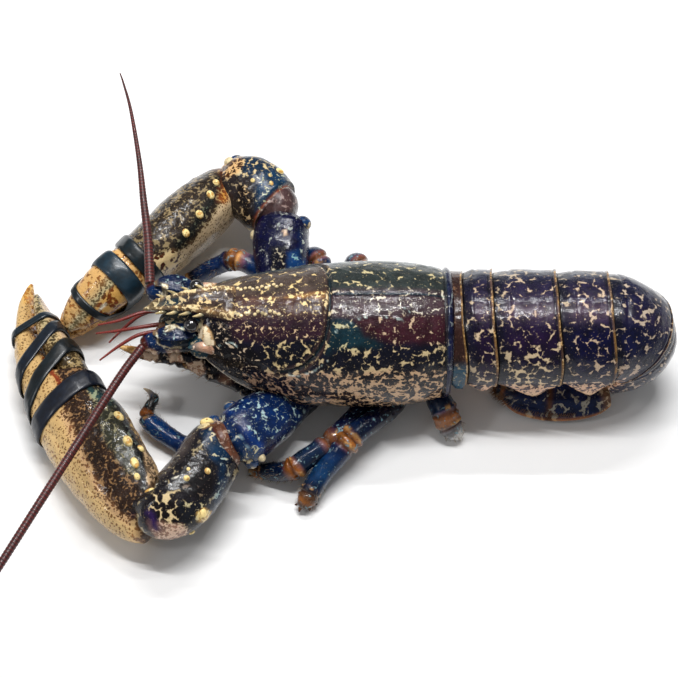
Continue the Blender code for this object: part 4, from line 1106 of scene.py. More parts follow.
def paint_carapace(rings, near, angle, edge, u, y, upper):
    """Fields of the back shell. near is the grid with its far side laid over the side that the photograph shows."""
    px, py = seen_at(near)
    groove = line_distance(px, py, GROOVE)
    f = base_coat(rings, (14, 12, 30), (204, 182, 142), 0.34, 0.15, 0.6)
    paint_places(f, near, 1.0, CARAPACE_PAINT)
    # The far upper side, seen at a grazing angle, is painted greyer, and grey-teal towards its outline: painted sheen
    # of the sky's reflection there
    over = ramp(y, 0.5, 4) * (1 - ramp(angle, 62, 86))
    front = 1 - ramp(px, 322, 334)
    paint_over(f, over * front, (70, 58, 52), (226, 198, 140), 0.13, 0.2, 0.4)
    paint_over(f, over * (1 - front), (40, 47, 46), (196, 182, 138), 0.20, 0.2, 0.4)
    paint_over(f, over * ramp(angle, 34, 56), (52, 74, 82), (176, 180, 160), 0.16, 0.4, 0.3)
    wavy = 1.2 * rough(rings, 3.0, 8)
    paint_over(f, bell(py + wavy, 296.5, 1.8) * front * ramp(px, 205, 222) * (angle < 30), (150, 108, 62),
        (240, 208, 140), 0.62, 0.3)
    paint_over(f, bell(y, 0, 0.45) * ramp(u, -5, 0) * (angle < 20), (6, 34, 44), (180, 190, 170), 0.10, 0.0)
    paint_over(f, bell(groove, 0, 1.6) * upper, (6, 30, 38), None, 0.03, 0.0, 0.8)
    paint_over(f, bell(groove, 3.4, 1.5) * upper * (px < 330) * 0.8, (60, 40, 34), (214, 190, 146), 0.50, 0.3)
    # Broken pale lines along the three ridges: painted highlights, the glints on the ridges
    glint_breaks = ramp(rough(rings, 1.2, 14, 2), -0.04, 0.12)
    for line in (SCAR, BRANCH, CHEEK):
        paint_over(f, bell(line_distance(px, py, line), 0, 0.7) * upper * glint_breaks * (y < 0), (166, 184, 180),
            (232, 238, 232), 0.8, 0.2, 0.9)
    paint_over(f, ramp(u, 44.2, 44.7), (10, 16, 52), (110, 120, 124), 0.08, 0.10, 0.8)
    paint_over(f, bell(u, REAR_GROOVE_X, 0.5), (5, 5, 14), None, 0.0, 0.0)
    paint_over(f, bell(u, 44.4, 0.22) * bell(angle, 30, 45), (60, 84, 96), None, 0.0, 0.0)
    edge_line = bell(angle, edge - 2.0, 1.6) * (1 - ramp(u, -34, -28)) * ramp(u, -62, -52)
    paint_over(f, edge_line, (214, 200, 170), (240, 230, 210), 0.75, 0.2)
    blob = region(px + wavy, py + wavy, [(200, 328), (206, 325), (212, 333), (214, 343), (206, 349), (199, 346)],
        1.5)
    paint_over(f, blob, (214, 176, 126), (248, 228, 196), 0.75, 0.2)
    paint_over(f, ramp(angle, edge + 3, edge + 8), (40, 28, 32), (120, 96, 84), 0.2, 0.2)
    paint_over(f, 1 - ramp(u, -66, -58), (34, 40, 42), (190, 168, 128), 0.25, 0.4)
    return f


def make_rostrum():
    """The beak between the eyes, its teeth, and the thorns and beads beside it."""
    rings, _, _ = limb(ROSTRUM, (0, 1, 0), 64, 0.5, 2.4)
    x, y = rings[..., 0], rings[..., 1]
    half = abs(y).max(1, keepdims=True)
    top = ramp(normals(rings)[..., 2], 0.1, 0.6)
    ridge = bell(abs(y), half * 0.74, half * 0.16 + 0.25)
    depth = 0.95 * ridge * top - 0.8 * bell(y, 0, half * 0.35 + 0.2) * top
    bumps = np.clip(rough(rings, 1.7, 5, 2), 0, 1) * 0.5 * ridge * top
    rings = carve(rings, (depth + bumps) * ramp(-x, 44, 50) * (1 - ramp(-x, 76, 80)))
    f = base_coat(rings, (52, 38, 34), (218, 190, 140), 0.40, 0.5, 0.5)
    paint_over(f, ramp(-x, 60, 70), (10, 44, 58), (196, 180, 140), 0.42, 0.5)
    paint_over(f, ridge * top * (0.45 + 0.55 * ramp(rough(rings, 1.6, 7, 2), -0.2, 0.1)), (140, 108, 70),
        (232, 208, 158), 0.58, 0.5)
    paint_over(f, 1 - top, (30, 20, 38), (170, 150, 140), 0.10, 0.3)
    paint_over(f, ramp(-x, 70, 79), (110, 92, 64), (226, 206, 160), 0.5)
    skin("rostrum", rings, f, SHELL, (), (0.3, 0.3))
    cream, teal = linear((206, 184, 134)), linear((36, 78, 88))
    thorns = []
    for side in (-1, 1):
        for k, (x, z) in enumerate(ROSTRUM_TEETH):
            reach = 6.6 - 1.05 * k
            base, tip = (x + 1.8, side * (reach - 1.6), z), (x - 3.4, side * (reach + 1.3), z + 1.5)
            tone = np.array([blend(teal, cream, t) for t in np.linspace(0, 1.6, 12)])
            thorns.append((horn(base, tip, 1.15, (0, side * 0.5, 0.2)), tone * 0.8, tone, (0.2, 0.2, 0.6)))
        salmon = np.array([blend(linear((196, 150, 122)), teal, t) for t in np.linspace(-0.4, 1.0, 14)])
        thorns.append((horn((-52, side * 14.2, 44.8), (-62.4, side * 15.4, 46.8), 3.2, (0, 0, 0.8), 20, 14), salmon,
                       linear((236, 208, 184)), (0.35, 0.3, 0.5)))
    spot, out = seen_spot(SHELL_RINGS, 206.5, 338.5)
    along = unit(UP - (UP @ out) * out)
    knob = bead(spot - out * 0.6, out, 2.0, 2.0, 31, 26, 18)
    knob = knob + 1.5 * ((knob - spot) @ along)[..., None] * along
    for mirrored in (knob, (knob * (1, -1, 1))[:, ::-1]):
        thorns.append((mirrored, linear((206, 164, 116)), linear((246, 226, 190)), (0.7, 0.2, 0.6)))
    for k in range(BACK_BEADS):
        side = -1 if k % 2 else 1
        x = -24 - 22 * (k / BACK_BEADS)
        y = side * (7.2 + 0.6 * math.sin(k * 2.1))
        spot, out = nearest(SHELL_RINGS, (x, y, 62))
        thorns.append((bead(spot, out, 0.8, 0.62, k), linear((224, 202, 154)), linear((240, 224, 186)),
            (0.3, 0.1, 0.6)))
    lumps("rostrum_teeth", thorns, SHELL)


def tail_plane(along):
    """Origin, outward and rearward directions and curl angle at a distance along the tail."""
    if along <= CURL_X:
        return np.array([along, 0, CURL_Z]), np.array([0, 0, 1.0]), np.array([1.0, 0, 0]), along - CURL_X
    angle = along - CURL_X
    turn = math.radians(angle)
    out = np.array([math.sin(turn), 0, math.cos(turn)])
    ahead = np.array([math.cos(turn), 0, -math.sin(turn)])
    return np.array([CURL_X, 0, CURL_Z]), out, ahead, angle


def smooth_table(rows, at):
    """A soft curve through a table."""
    xs = np.array([r[0] for r in rows], float)
    ys = np.array([r[1] for r in rows], float)
    return float(np.mean([np.interp(at + d, xs, ys) for d in (-6, -3, 0, 3, 6)]))


def paint_tail(rings, k, y, drop, u, at, arc):
    """Fields of tail ring k: y is across the body, drop the angle from the top, at the millimetres along it."""
    first = k == 0
    f = base_coat(rings, (30, 24, 50), (196, 172, 146), 0.20, 0.15, 0.6)
    near = 1 - ramp(y, -2, 4)
    paint_over(f, near, (34, 26, 52), None, 0.18)
    paint_over(f, near * ramp(drop, 18, 36), (8, 6, 38), (200, 174, 144), 0.28, 0.15)
    paint_over(f, near * ramp(drop, 62, 84), (7, 6, 28), (212, 182, 148), 0.38, 0.25)
    # A lighter mauve band along the near top, where the lamps' highlights fall: painted sheen
    paint_over(f, near * bell(drop, 14, 9), (62, 44, 62), (206, 180, 160), 0.22, 0.3)
    # The far side, seen at a grazing angle, is painted greyer and then teal lower down: painted sheen of the sky's
    # reflection there
    far = 1 - near
    paint_over(f, far * ramp(drop, 12, 40), (34, 40, 58), (176, 160, 138), 0.24, 0.2)
    paint_over(f, far * ramp(drop, 45, 80), (40, 62, 76), (150, 158, 148), 0.26, 0.4)
    if k == 1 or k == 2:
        paint_over(f, near * ramp(drop, 16, 40) * 0.6, (34, 14, 44), (208, 184, 150), 0.30, 0.15)
    if k == 2:
        paint_over(f, near * ramp(drop, 40, 80), (10, 8, 34), (216, 192, 154), 0.44, 0.2)
    if k >= 3:
        paint_over(f, near * ramp(drop, 24, 45), (5, 5, 42), (198, 172, 146), 0.26, 0.2)
    if k >= 4:
        paint_over(f, 0.75 + 0 * u, (8, 13, 46), (184, 168, 150), 0.22, 0.2)
        paint_over(f, ramp(drop, 60, 95), (22, 15, 40), (206, 172, 150), 0.44, 0.4)
    if k == 5:
        paint_over(f, 0.6 + 0 * u, (12, 18, 44), (186, 168, 150), 0.30, 0.4)
    paint_over(f, (1 - ramp(at, 2.0, 7.0)) * (1 - ramp(drop, 80, 100)) * 0.8, (8, 10, 28), (176, 158, 130), 0.20,
        0.2, 0.8)
    skirt = ramp(drop, 92, 104) * (1 - ramp(drop, 128, 134))
    paint_over(f, skirt, (50, 28, 44), (222, 178, 146), 0.68, 0.5)
    paint_over(f, ramp(drop, 106, 116) * (1 - ramp(drop, 128, 134)), (120, 78, 62), (228, 188, 150), 0.85, 0.7)
    if first:
        paint_over(f, 1.0 - ramp(at, arc - 0.9, arc - 0.5) + 0 * u, (48, 27, 23), (120, 88, 66), 0.12, 0.4)
        paint_over(f, (1.0 - ramp(at, arc - 0.9, arc - 0.5)) * ramp(drop, 60, 76), (18, 66, 88), (160, 160, 140),
            0.14, 0.4)
    line = ramp(at, arc - 0.72, arc - 0.55) * (1 - ramp(drop, 104, 114))
    line = line * (0.35 + 0.65 * ramp(rough(rings, 2.4, 300 + k, 2), -0.35, 0.05))
    paint_over(f, line, (126, 92, 50), (190, 152, 96), 0.45, 0.6, 0.5)
    if not first:
        paint_over(f, line * (1 - ramp(drop, 20, 40)) * 0.4, (90, 74, 60))
        paint_over(f, bell(at, arc - 1.55, 0.38) * (1 - ramp(drop, 104, 114)), (7, 6, 16), None, 0.0, 0.0)
        # Near-black at the front of each segment, under the rim of the one before: the gap between them, with painted
        # shade
        paint_over(f, 1 - ramp(at, 0.5, 1.1), (8, 6, 14), None, 0.0, 0.0)
    paint_over(f, ramp(drop, 130, 140), (70, 48, 46), (120, 92, 84), 0.2, 0.3, 0.2)
    return f


def tail_outline(radius, wide, u, end, first, angle):
    """Height of the waist and the outline of a tail ring at u, with its side lobe's reach there."""
    waist, belly = WAIST_SHARE * radius, BELLY_SHARE * radius
    reach = table(PLEURON, u if end < 120 else min(1.0, u * 2.0))
    deep = reach * (0.45 if first or end < 70 else 1.0) * (1.0 if end < 190 else 0.25)
    tip = belly - 1.2 - deep * (belly - 1.2 - (-1.6 if angle <= 0 else 2.2))
    half = [(wide * math.sin(a), waist + (radius - waist) * math.cos(a)) for a in np.linspace(0, math.pi / 2, 9)]
    half += [(wide * 0.995, waist + (tip - waist) * 0.5), (wide * 0.965, tip + 0.4), (wide * 0.92, tip)]
    half += [(wide * 0.875, tip + 0.6), (wide * 0.82, belly * 0.7 + tip * 0.3), (wide * 0.66, belly)]
    half += [(wide * 0.33, belly - 0.3), (0.0, belly - 0.4)]
    half = np.array(half)
    return waist, smooth_loop(np.vstack([half, half[-2:0:-1] * (-1, 1)]), TAIL_AROUND)


def make_tail():
    """Six rings of the tail, the last two curled under."""
    for k, (start, end) in enumerate(SEGMENTS):
        first = k == 0
        arc = (end - start) * (1.0 if end <= LAST_STRAIGHT_END else MM_PER_DEGREE)
        count = max(10, int(arc / (LAST_TAIL_STEP if k == 5 else TAIL_STEP)))
        rings, drops, us = [], [], []
        for i in range(count):
            u = i / (count - 1)
            origin, out, ahead, angle = tail_plane(start + (end - start) * u)
            radius, wide = smooth_table(DORSAL, angle), smooth_table(WIDTH, angle)
            lip = 0.0 if first else LIP_TUCK * (1 - min(1.0, u / LIP_END))
            tuck = (0.97 if first else 1.0) - lip + 0.010 * math.exp(-(((u - 1) / 0.10) ** 2))
            radius, wide = radius * tuck, wide * tuck
            waist, loop = tail_outline(radius, wide, u, end, first, angle)
            drop = np.degrees(np.arctan2(abs(loop[:, 0]) / wide, (loop[:, 1] - waist) / (radius - waist)))
            upright = 0.0 if end <= LAST_STRAIGHT_END else min(1.0, u * 3) if k == 4 else 1.0
            lean = LEAN * ramp(drop, 15, 80) * (1 - upright)
            ring = origin + loop[:, :1] * np.array([0, 1.0, 0]) + loop[:, 1:] * out
            if k > 0 or u > 0.5:
                ring = ring + lean[:, None] * ahead
            rings.append(ring)
            drops.append(drop)
            us.append(np.full(len(drop), u))
        rings, drop, u = np.array(rings), np.array(drops), np.array(us)
        y = rings[..., 1]
        outer = 1 - ramp(drop, 128, 140)
        depth = grain(rings, 30 + k, 0.22, 0.06) * outer
        at = u * arc
        if not first:
            depth += -0.40 * bell(at, arc - 1.5, 0.35) * outer
            depth += 0.16 * bell(at, arc - 0.5, 0.5) * outer
            depth += -0.40 * bell(at, min(6.4, arc * 0.4), 0.7) * outer * (1 - ramp(drop, 85, 100))
            depth += -0.6 * bell(drop, 96, 4) * bell(u, 0.45, 0.25)
        rings = carve(rings, depth)
        f = paint_tail(rings, k, y, drop, u, at, arc)
        skin(f"tail_segment_{k + 1}", rings, f, TAIL, (f"abdomen_{k + 1}",), (0.0, 0.0))


def make_fan():
    """Five blades of the tail fan, folded forward under the tail, with their fringes."""
    blades = [("telson", TELSON, (0, 1, 0), False)]
    for part, rows in (("inner", ENDOPOD), ("outer", EXOPOD)):
        far = [(r[0], -r[1], *r[2:]) for r in rows]
        blades.append((f"uropod_left_{part}", rows, BLADE_SIDE, part == "outer"))
        blades.append((f"uropod_right_{part}", far, (0, -BLADE_SIDE[1], BLADE_SIDE[2]), part == "outer"))
    for seed, (name, rows, side, hinged) in enumerate(blades):
        rings, number, centre = limb(rows, side, BLADE_AROUND, BLADE_STEP, 2.6)
        last = number[-1]
        across = ((rings - centre[:, None]) @ unit(side))
        half = np.maximum(abs(across).max(1, keepdims=True), 0.5)
        v = across / half
        along = number[:, None] / last + 0 * v
        face = 1 - ramp(abs(v), 0.86, 0.97)
        depth = 0.35 * bell(v, -0.1, 0.10) * face - 0.2 * bell(abs(v), 0.45, 0.12) * face
        depth += 0.10 * np.sin(v * 34 + along * 3) * face * ramp(along, 0.45, 0.8)
        if hinged:
            depth -= 0.5 * bell(along, 0.47, 0.02) * face
        depth += 0.08 * rough(rings, 2.0, seed)
        rings = carve(rings, depth)
        f = base_coat(rings, (12, 28, 66), (164, 160, 148), 0.30, 0.25, 0.7)
        paint_over(f, ramp(along, 0.6, 0.9), (34, 44, 70), (140, 134, 128), 0.24, 0.3)
        paint_over(f, 1 - ramp(along, 0.02, 0.12), (112, 84, 66), (196, 170, 140), 0.4, 0.3)
        paint_over(f, ramp(abs(v), 0.80, 0.95), (140, 92, 62), (196, 150, 104), 0.4, 0.3, 0.3)
        paint_over(f, ramp(along, 0.90, 0.98), (150, 98, 62), (206, 160, 112), 0.5, 0.3, 0.3)
        if hinged:
            paint_over(f, bell(along, 0.47, 0.02), (92, 58, 36), None, 0.05, 0.0)
        skin("blade_" + name, rings, f, TAIL, (name,), (0.4, 0.4))
        roots, ways = [], []
        count = len(rings)
        pick = np.random.default_rng(seed)
        for _ in range(SIDE_FRINGE):
            i = int(pick.integers(int(count * 0.30), count - 1))
            spot = rings[i, FRINGE_ROWS[int(pick.integers(0, 2))]]
            roots.append(spot)
            ways.append(unit(spot - centre[i]) * 0.9 + np.array([-0.55, 0, -0.05]))
        for _ in range(END_FRINGE):
            j = int(pick.integers(0, rings.shape[1]))
            i = count - 1 - int(pick.integers(0, 5))
            roots.append(rings[i, j])
            ways.append(unit(rings[i, j] - centre[i]) * 0.6 + np.array([-1.0, 0, 0]))
        bristles("fringe_" + name, roots, ways, 2.4, 0.10, (92, 58, 40), (176, 134, 96), seed + 50, HAIR)


def add_beads(name, rings, rows, seed):
    """Cream tubercles where the photograph shows them: pixel, radius and length over width."""
    shapes = []
    for k, (x, y, radius, long) in enumerate(rows):
        spot, out = seen_spot(rings, x, y)
        knob = bead(spot - out * 0.1, out, radius * 0.86, radius * 0.72, seed + k, 18, 12)
        along = unit(UP - (UP @ out) * out + 0.4 * np.cross(out, UP))
        knob = knob + (long - 1) * ((knob - spot) @ along)[..., None] * along
        shapes.append((knob, linear((206, 158, 84)), linear((248, 222, 152)), (0.8, 0.3, 0.9)))
    lumps(name, shapes, CLAW)


LEFT_CLAW_PAINT = (
    ("area", ((63, 412), (75, 443), (87, 468), (99, 491), (113, 508), (127, 520), (137, 517), (148, 500),
        (147, 484), (145, 466),
              (141, 446), (131, 426), (121, 408), (98, 374), (80, 350), (70, 345), (56, 355), (57, 378), (60,
                  395)), 3,
     ((40, 24, 15), (138, 104, 68), 0.40, 0.6, 0.7)),
    ("area", ((92, 400), (120, 402), (143, 450), (144, 482), (126, 472), (104, 440)), 4,
        ((42, 42, 30), (136, 130, 98), 0.42, 0.5, 0.8)),
    ("area", ((84, 384), (112, 392), (122, 408), (108, 404), (90, 398)), 3,
        ((24, 50, 52), (140, 150, 120), 0.40, 0.4, 0.7)),
    ("line", ((64, 414), (76, 445), (88, 470), (100, 493), (114, 510), (128, 522)), 4,
        ((118, 78, 48), (208, 168, 122), 0.70, 0.95)),
    ("line", ((104, 388), (117, 404), (128, 428), (138, 448), (144, 474), (146, 488)), 5,
        ((16, 18, 22), (86, 96, 90), 0.22, 0.5, 0.8)),
    ("line", ((134, 516), (143, 505), (150, 494)), 5, ((26, 12, 26), (110, 80, 70), 0.2, 0.5, 0.7)),
    ("area", ((141, 444), (149, 446), (158, 478), (152, 494), (147, 484), (145, 465)), 2,
        ((86, 70, 54), (186, 156, 120), 0.62, 0.6)),
    ("area", ((110, 385), (120, 388), (140, 425), (136, 438), (122, 406)), 2,
        ((96, 74, 46), (196, 160, 100), 0.62, 0.5)),
    ("area", ((128, 530), (148, 526), (158, 540), (130, 546)), 3, ((158, 108, 58), (230, 190, 130), 0.88, 0.4)),
    ("line", ((34, 328), (40, 345), (48, 366), (60, 384)), 2.5, ((124, 46, 20), (190, 120, 60), 0.3, 0.3)),
    ("area", ((24, 278), (38, 278), (33, 304), (22, 304)), 3, ((178, 116, 38), (216, 170, 92), 0.7, 0.4)),
)
LEFT_FINGER_PAINT = (
    ("line", ((38, 298), (42, 320), (55, 344), (68, 352)), 6, ((76, 66, 40), (178, 160, 118), 0.58, 0.8, 0.7)),
    ("line", ((44, 300), (54, 320), (64, 336)), 2.5, ((150, 118, 96), (212, 182, 150), 0.8, 0.5)),
)
RIGHT_CLAW_PAINT = (
    ("area", ((236, 158), (226, 176), (222, 189), (221, 200), (212, 217), (198, 236), (186, 247), (171, 250),
        (160, 256), (150, 264),
              (140, 263), (114, 240), (130, 214), (160, 192), (185, 172), (215, 158)), 3, ((40, 31, 24),
                  (140, 122, 88), 0.47, 0.5, 0.7)),
    ("line", ((222, 178), (214, 195), (204, 213), (190, 232), (178, 245)), 5,
        ((15, 17, 16), (72, 84, 70), 0.2, 0.6, 0.8)),
    ("area", ((148, 258), (172, 251), (184, 256), (176, 268), (150, 274)), 3,
        ((70, 30, 14), (228, 200, 148), 0.74, 0.0)),
    ("line", ((226, 186), (224, 198)), 5, ((130, 62, 16), (200, 140, 60), 0.4, 0.9)),
)
RIGHT_FINGER_PAINT = (
    ("line", ((113, 281), (84, 315)), 7, ((94, 86, 60), (186, 172, 132), 0.60, 1.0)),
    ("area", ((116, 282), (126, 290), (118, 312), (96, 332), (88, 320), (100, 300)), 3,
        ((112, 54, 16), (206, 158, 84), 0.62, 0.2)),
    # Thin near-white line on the finger: painted highlight
    ("line", ((98, 312), (106, 303)), 1.2, ((190, 180, 150), (240, 236, 224), 0.6, 0.2)),
    ("line", ((80, 318), (66, 334)), 4, ((120, 110, 80), (196, 186, 150), 0.6, 0.9)),
)


def make_left_claw():
    """The near claw; gives the rings of its palm and finger, which the bands fit."""
    rings, number, centre = claw(LEFT_PALM, LEFT_PALM_AROUND, PALM_STEP)
    out = normals(rings)
    c, n = round_cosine(rings), spread(number, rings)
    top = out[..., 2]
    depth = grain(rings, 60, 0.30, 0.08)
    depth += 0.4 * bell(c, 0.82, 0.10) * (1 - ramp(n, 6, 7)) * np.clip(top, 0, 1)
    depth -= 0.5 * bell(c, -0.52, 0.07) * (1 - ramp(n, 5.5, 7)) * np.clip(top, 0, 1)
    rings = carve(rings, depth)
    f = base_coat(rings, (122, 88, 48), (204, 168, 112), 0.88, 0.85, 0.5)
    paint_over(f, ramp(-c, 0.2, 0.8) * (1 - ramp(n, 5, 7)), (132, 92, 56), (212, 180, 128), 0.84, 0.9)
    paint_places(f, rings, facing(rings), LEFT_CLAW_PAINT, 1)
    paint_over(f, 1 - ramp(n, 0.5, 1.3), (58, 38, 26), (150, 116, 84), 0.4, 0.3)
    skin("claw_left_palm_shell", rings, f, CLAW, ("claw_left_palm",), (0.35, 0.3))
    rows = ((119, 416, 2.1, 1.5), (128, 440.5, 2.2, 1.5), (135, 463, 2.0, 1.5), (137, 477, 1.5, 1.3),
        (140.8, 448.5, 1.6, 1.3))
    add_beads("claw_left_tubercles", rings, rows, 70)
    finger, finger_number, _ = claw(LEFT_DACTYL, FINGER_AROUND, 0.56)
    finger = carve(finger, grain(finger, 64, 0.18, 0.07))
    m = spread(finger_number, finger)
    g = base_coat(finger, (140, 104, 62), (210, 180, 132), 0.84, 0.8, 0.6)
    paint_places(g, finger, facing(finger), LEFT_FINGER_PAINT, 2)
    paint_over(g, 1 - ramp(m, 1.6, 2.6), (56, 44, 26), (156, 134, 92), 0.46, 0.5)
    skin("claw_left_dactyl_shell", finger, g, CLAW, ("claw_left_dactyl",), (0.4, 0.3))
    teeth = []
    for k, size in enumerate(LEFT_TEETH):
        i = int(np.argmin(abs(number - (7.6 + 0.52 * k))))
        out = unit(rings[i, 0] - centre[i])
        tooth = bead(rings[i, 0] - out * 0.4, out, size, size * 0.8, k, 14, 9)
        teeth.append((tooth, linear((176, 128, 76)), linear((226, 196, 140)), (0.4, 0.1, 0.6)))
    lumps("claw_left_teeth", teeth, CLAW)
    return [rings, finger]


def make_right_claw():
    """The far claw, seen on edge; gives its rings as the near claw does."""
    rings, number, _ = claw(edge_claw_rows(RIGHT_PALM), RIGHT_PALM_AROUND, PALM_STEP)
    back = np.array((-0.67, 0.61, 0.40))
    n = spread(number, rings)
    out = normals(rings)
    dark = out @ unit(back)
    c = round_cosine(rings)
    depth = grain(rings, 80, 0.28, 0.08) + 0.35 * bell(c, 0.86, 0.1) * (1 - ramp(n, 6, 7))
    rings = carve(rings, depth)
    f = base_coat(rings, (112, 86, 56), (200, 176, 140), 0.86, 0.9, 0.5)
    paint_over(f, ramp(dark, 0.30, 0.55), (40, 32, 25), (124, 110, 82), 0.38, 0.3, 0.7)
    paint_over(f, ramp(n, 5.6, 7.0), (150, 98, 46), (214, 166, 104), 0.84, 0.5, 0.6)
    paint_places(f, rings, facing(rings), RIGHT_CLAW_PAINT, 3)
    paint_over(f, 1 - ramp(n, 0.5, 1.2), (110, 52, 22), (206, 150, 84), 0.5, 0.3)
    skin("claw_right_palm_shell", rings, f, CLAW, ("claw_right_palm",), (0.4, 0.4))
    rows = ((216.2, 183.1, 1.9, 1.1), (211, 195, 2.1, 1.25), (199.6, 215.2, 2.1, 1.2), (186, 233, 2.0, 1.2))
    add_beads("claw_right_tubercles", rings, rows, 90)
    finger, _, _ = claw(edge_claw_rows(RIGHT_DACTYL), FINGER_AROUND, 0.55)
    finger = carve(finger, grain(finger, 84, 0.2, 0.07))
    g = base_coat(finger, (146, 92, 42), (216, 170, 106), 0.80, 0.4, 0.7)
    paint_places(g, finger, facing(finger), RIGHT_FINGER_PAINT, 4)
    skin("claw_right_dactyl_shell", finger, g, CLAW, ("claw_right_dactyl",), (0.4, 0.4))
    return [rings, finger]


LEFT_MERUS_PAINT = (
    ("area", ((238, 396), (310, 390), (310, 424), (262, 442), (232, 420)), 4,
        ((6, 32, 74), (160, 186, 188), 0.30, 0.35, 0.9)),
    # Broken white line along the distal edge: painted highlight
    ("dash", ((219, 421), (236, 434), (252, 452)), 1.0, ((150, 180, 196), (226, 234, 232), 0.6, 0.2, 0.9)),
    ("area", ((236, 462), (254, 446), (262, 452), (252, 470), (240, 482)), 3,
        ((10, 48, 84), (206, 196, 156), 0.30, 0.3)),
)
RIGHT_MERUS_PAINT = (
    ("area", ((271, 246), (286, 246), (286, 272), (271, 272)), 2, ((5, 6, 22), (186, 176, 150), 0.26, 0.5)),
    ("area", ((288, 254), (312, 244), (312, 274), (286, 274)), 3, ((8, 50, 98), (130, 176, 180), 0.22, 0.5)),
    ("area", ((298, 230), (312, 228), (312, 258), (300, 258)), 3, ((8, 26, 60), (170, 180, 170), 0.22, 0.5)),
    ("area", ((283, 230), (288, 230), (288, 235), (284, 236)), 1.2, ((190, 160, 130), (220, 190, 160), 0.8, 0.2)),
)
LEFT_CARPUS_PAINT = (
    ("area", ((146, 492), (165, 474), (188, 450), (198, 424), (192, 420), (160, 462)), 4,
        ((60, 52, 50), (150, 140, 118), 0.12, 0.4, 0.8)),
    ("area", ((196, 416), (224, 420), (228, 462), (212, 462), (204, 440)), 4,
        ((9, 38, 64), (196, 186, 150), 0.24, 0.3, 0.8)),
    ("area", ((150, 494), (178, 490), (180, 518), (168, 528), (150, 518)), 3,
        ((16, 10, 12), (214, 190, 144), 0.52, 0.1)),
    ("area", ((178, 504), (208, 498), (206, 520), (180, 527)), 3, ((18, 20, 26), (190, 178, 138), 0.30, 0.2)),
    ("area", ((186, 456), (212, 462), (214, 490), (196, 498), (176, 486)), 5,
        ((14, 11, 14), (110, 96, 84), 0.08, 0.5, 0.9)),
    ("line", ((222, 446), (223, 480), (217, 505), (208, 522)), 4.5, ((7, 32, 56), (150, 172, 172), 0.22, 0.3, 0.8)),
    ("area", ((148, 520), (182, 525), (190, 532), (176, 544), (156, 542)), 2.5,
        ((150, 112, 92), (224, 190, 164), 0.74, 0.6, 0.7)),
    ("line", ((150, 514), (156, 528)), 4, ((42, 22, 74), (120, 90, 120), 0.2, 0.3)),
    ("area", ((196, 513), (204, 507), (211, 511), (207, 521), (198, 522)), 1.5,
        ((216, 172, 92), (248, 222, 152), 0.8, 0.2)),
    # Broken near-white line along the top of the lower lobe: painted highlight
    ("dash", ((148, 491), (162, 483), (179, 476)), 1.0, ((150, 146, 136), (226, 224, 214), 0.6, 0.3, 0.9)),
    ("area", ((198, 412), (216, 410), (218, 424), (203, 429)), 2, ((150, 112, 66), (228, 206, 152), 0.7, 0.3)),
)
RIGHT_CARPUS_PAINT = (
    ("area", ((234, 154), (270, 154), (282, 168), (252, 177), (234, 174)), 3,
        ((8, 34, 56), (206, 184, 138), 0.50, 0.2)),
    ("area", ((216, 162), (230, 150), (244, 156), (241, 170), (228, 180), (218, 176)), 2.5,
        ((64, 36, 18), (214, 172, 118), 0.60, 0.4)),
    ("area", ((256, 176), (284, 164), (290, 196), (274, 222), (256, 230), (256, 204)), 4,
        ((8, 44, 72), (176, 180, 150), 0.24, 0.6, 0.9)),
    ("area", ((236, 186), (249, 186), (253, 226), (243, 228)), 3, ((18, 11, 11), (204, 174, 130), 0.30, 0.3)),
    ("area", ((237, 226), (257, 230), (260, 250), (246, 248)), 2, ((184, 160, 110), (242, 230, 198), 0.85, 0.2)),
    ("line", ((284, 184), (290, 196), (294, 214)), 4, ((10, 52, 80), (160, 180, 176), 0.3, 0.3, 0.8)),
)


# Arm joints: rows, side, fineness, grain, ridges (height, row number, width), ground coat, paint, dome at the far end.
# Paint is a list of kind, two row numbers and a coat, or of outlines and lines in the photograph with their seed.
MERUS_FINE, CARPUS_FINE = (MERUS_AROUND, MERUS_STEP, 2.4), (CARPUS_AROUND, CARPUS_STEP, 2.3)
ARM_JOINTS = {
    "merus_left": (
        LEFT_MERUS, LEFT_SIDE, MERUS_FINE, (100, 0.2, 0.06), ((0.5, 5.5, 0.25),),
        ((4, 15, 52), (150, 170, 170), 0.12, 0.3, 0.9), (
            ("bell", 4.9, 0.35, ((12, 46, 104), (170, 184, 180), 0.16, 0.4)),
            ("above", 5.45, 5.75, ((14, 40, 80), (206, 206, 186), 0.26, 0.3)),
            ("places", LEFT_MERUS_PAINT, 5, None)), 0.5),
    "merus_right": (
        RIGHT_MERUS, RIGHT_ARM_SIDE, MERUS_FINE, (104, 0.2, 0.06), ((0.5, 5.4, 0.3),),
        ((3, 5, 42), (150, 156, 150), 0.08, 0.2, 0.9), (("places", RIGHT_MERUS_PAINT, 6, None),), 0.5),
    "carpus_left": (
        LEFT_CARPUS, LEFT_SIDE, CARPUS_FINE, (110, 0.28, 0.08), ((-0.9, 2.3, 0.18), (0.4, 2.8, 0.3)),
        ((22, 19, 24), (150, 136, 104), 0.18, 0.3, 0.8), (
            ("places", LEFT_CARPUS_PAINT, 7, None),
            ("below", 2.35, 2.55, ((98, 60, 44), (170, 146, 130), 0.28, 0.3, 1.0)),
            ("bell", 2.5, 0.10, ((96, 44, 20), None, 0.0, 0.0))), 0.4),
    "carpus_right": (
        RIGHT_CARPUS, RIGHT_ARM_SIDE, CARPUS_FINE, (114, 0.28, 0.08), ((-0.8, 1.5, 0.18), (0.4, 2.0, 0.3)),
        ((34, 28, 29), (150, 134, 106), 0.16, 0.3, 0.8), (
            ("places", RIGHT_CARPUS_PAINT, 8, None),
            ("below", 1.25, 1.55, ((70, 50, 50), (140, 118, 112), 0.3, 0.3, 1.0)),
            ("bell", 1.5, 0.12, ((120, 60, 24), None, 0.0, 0.0))), 0.4),
}
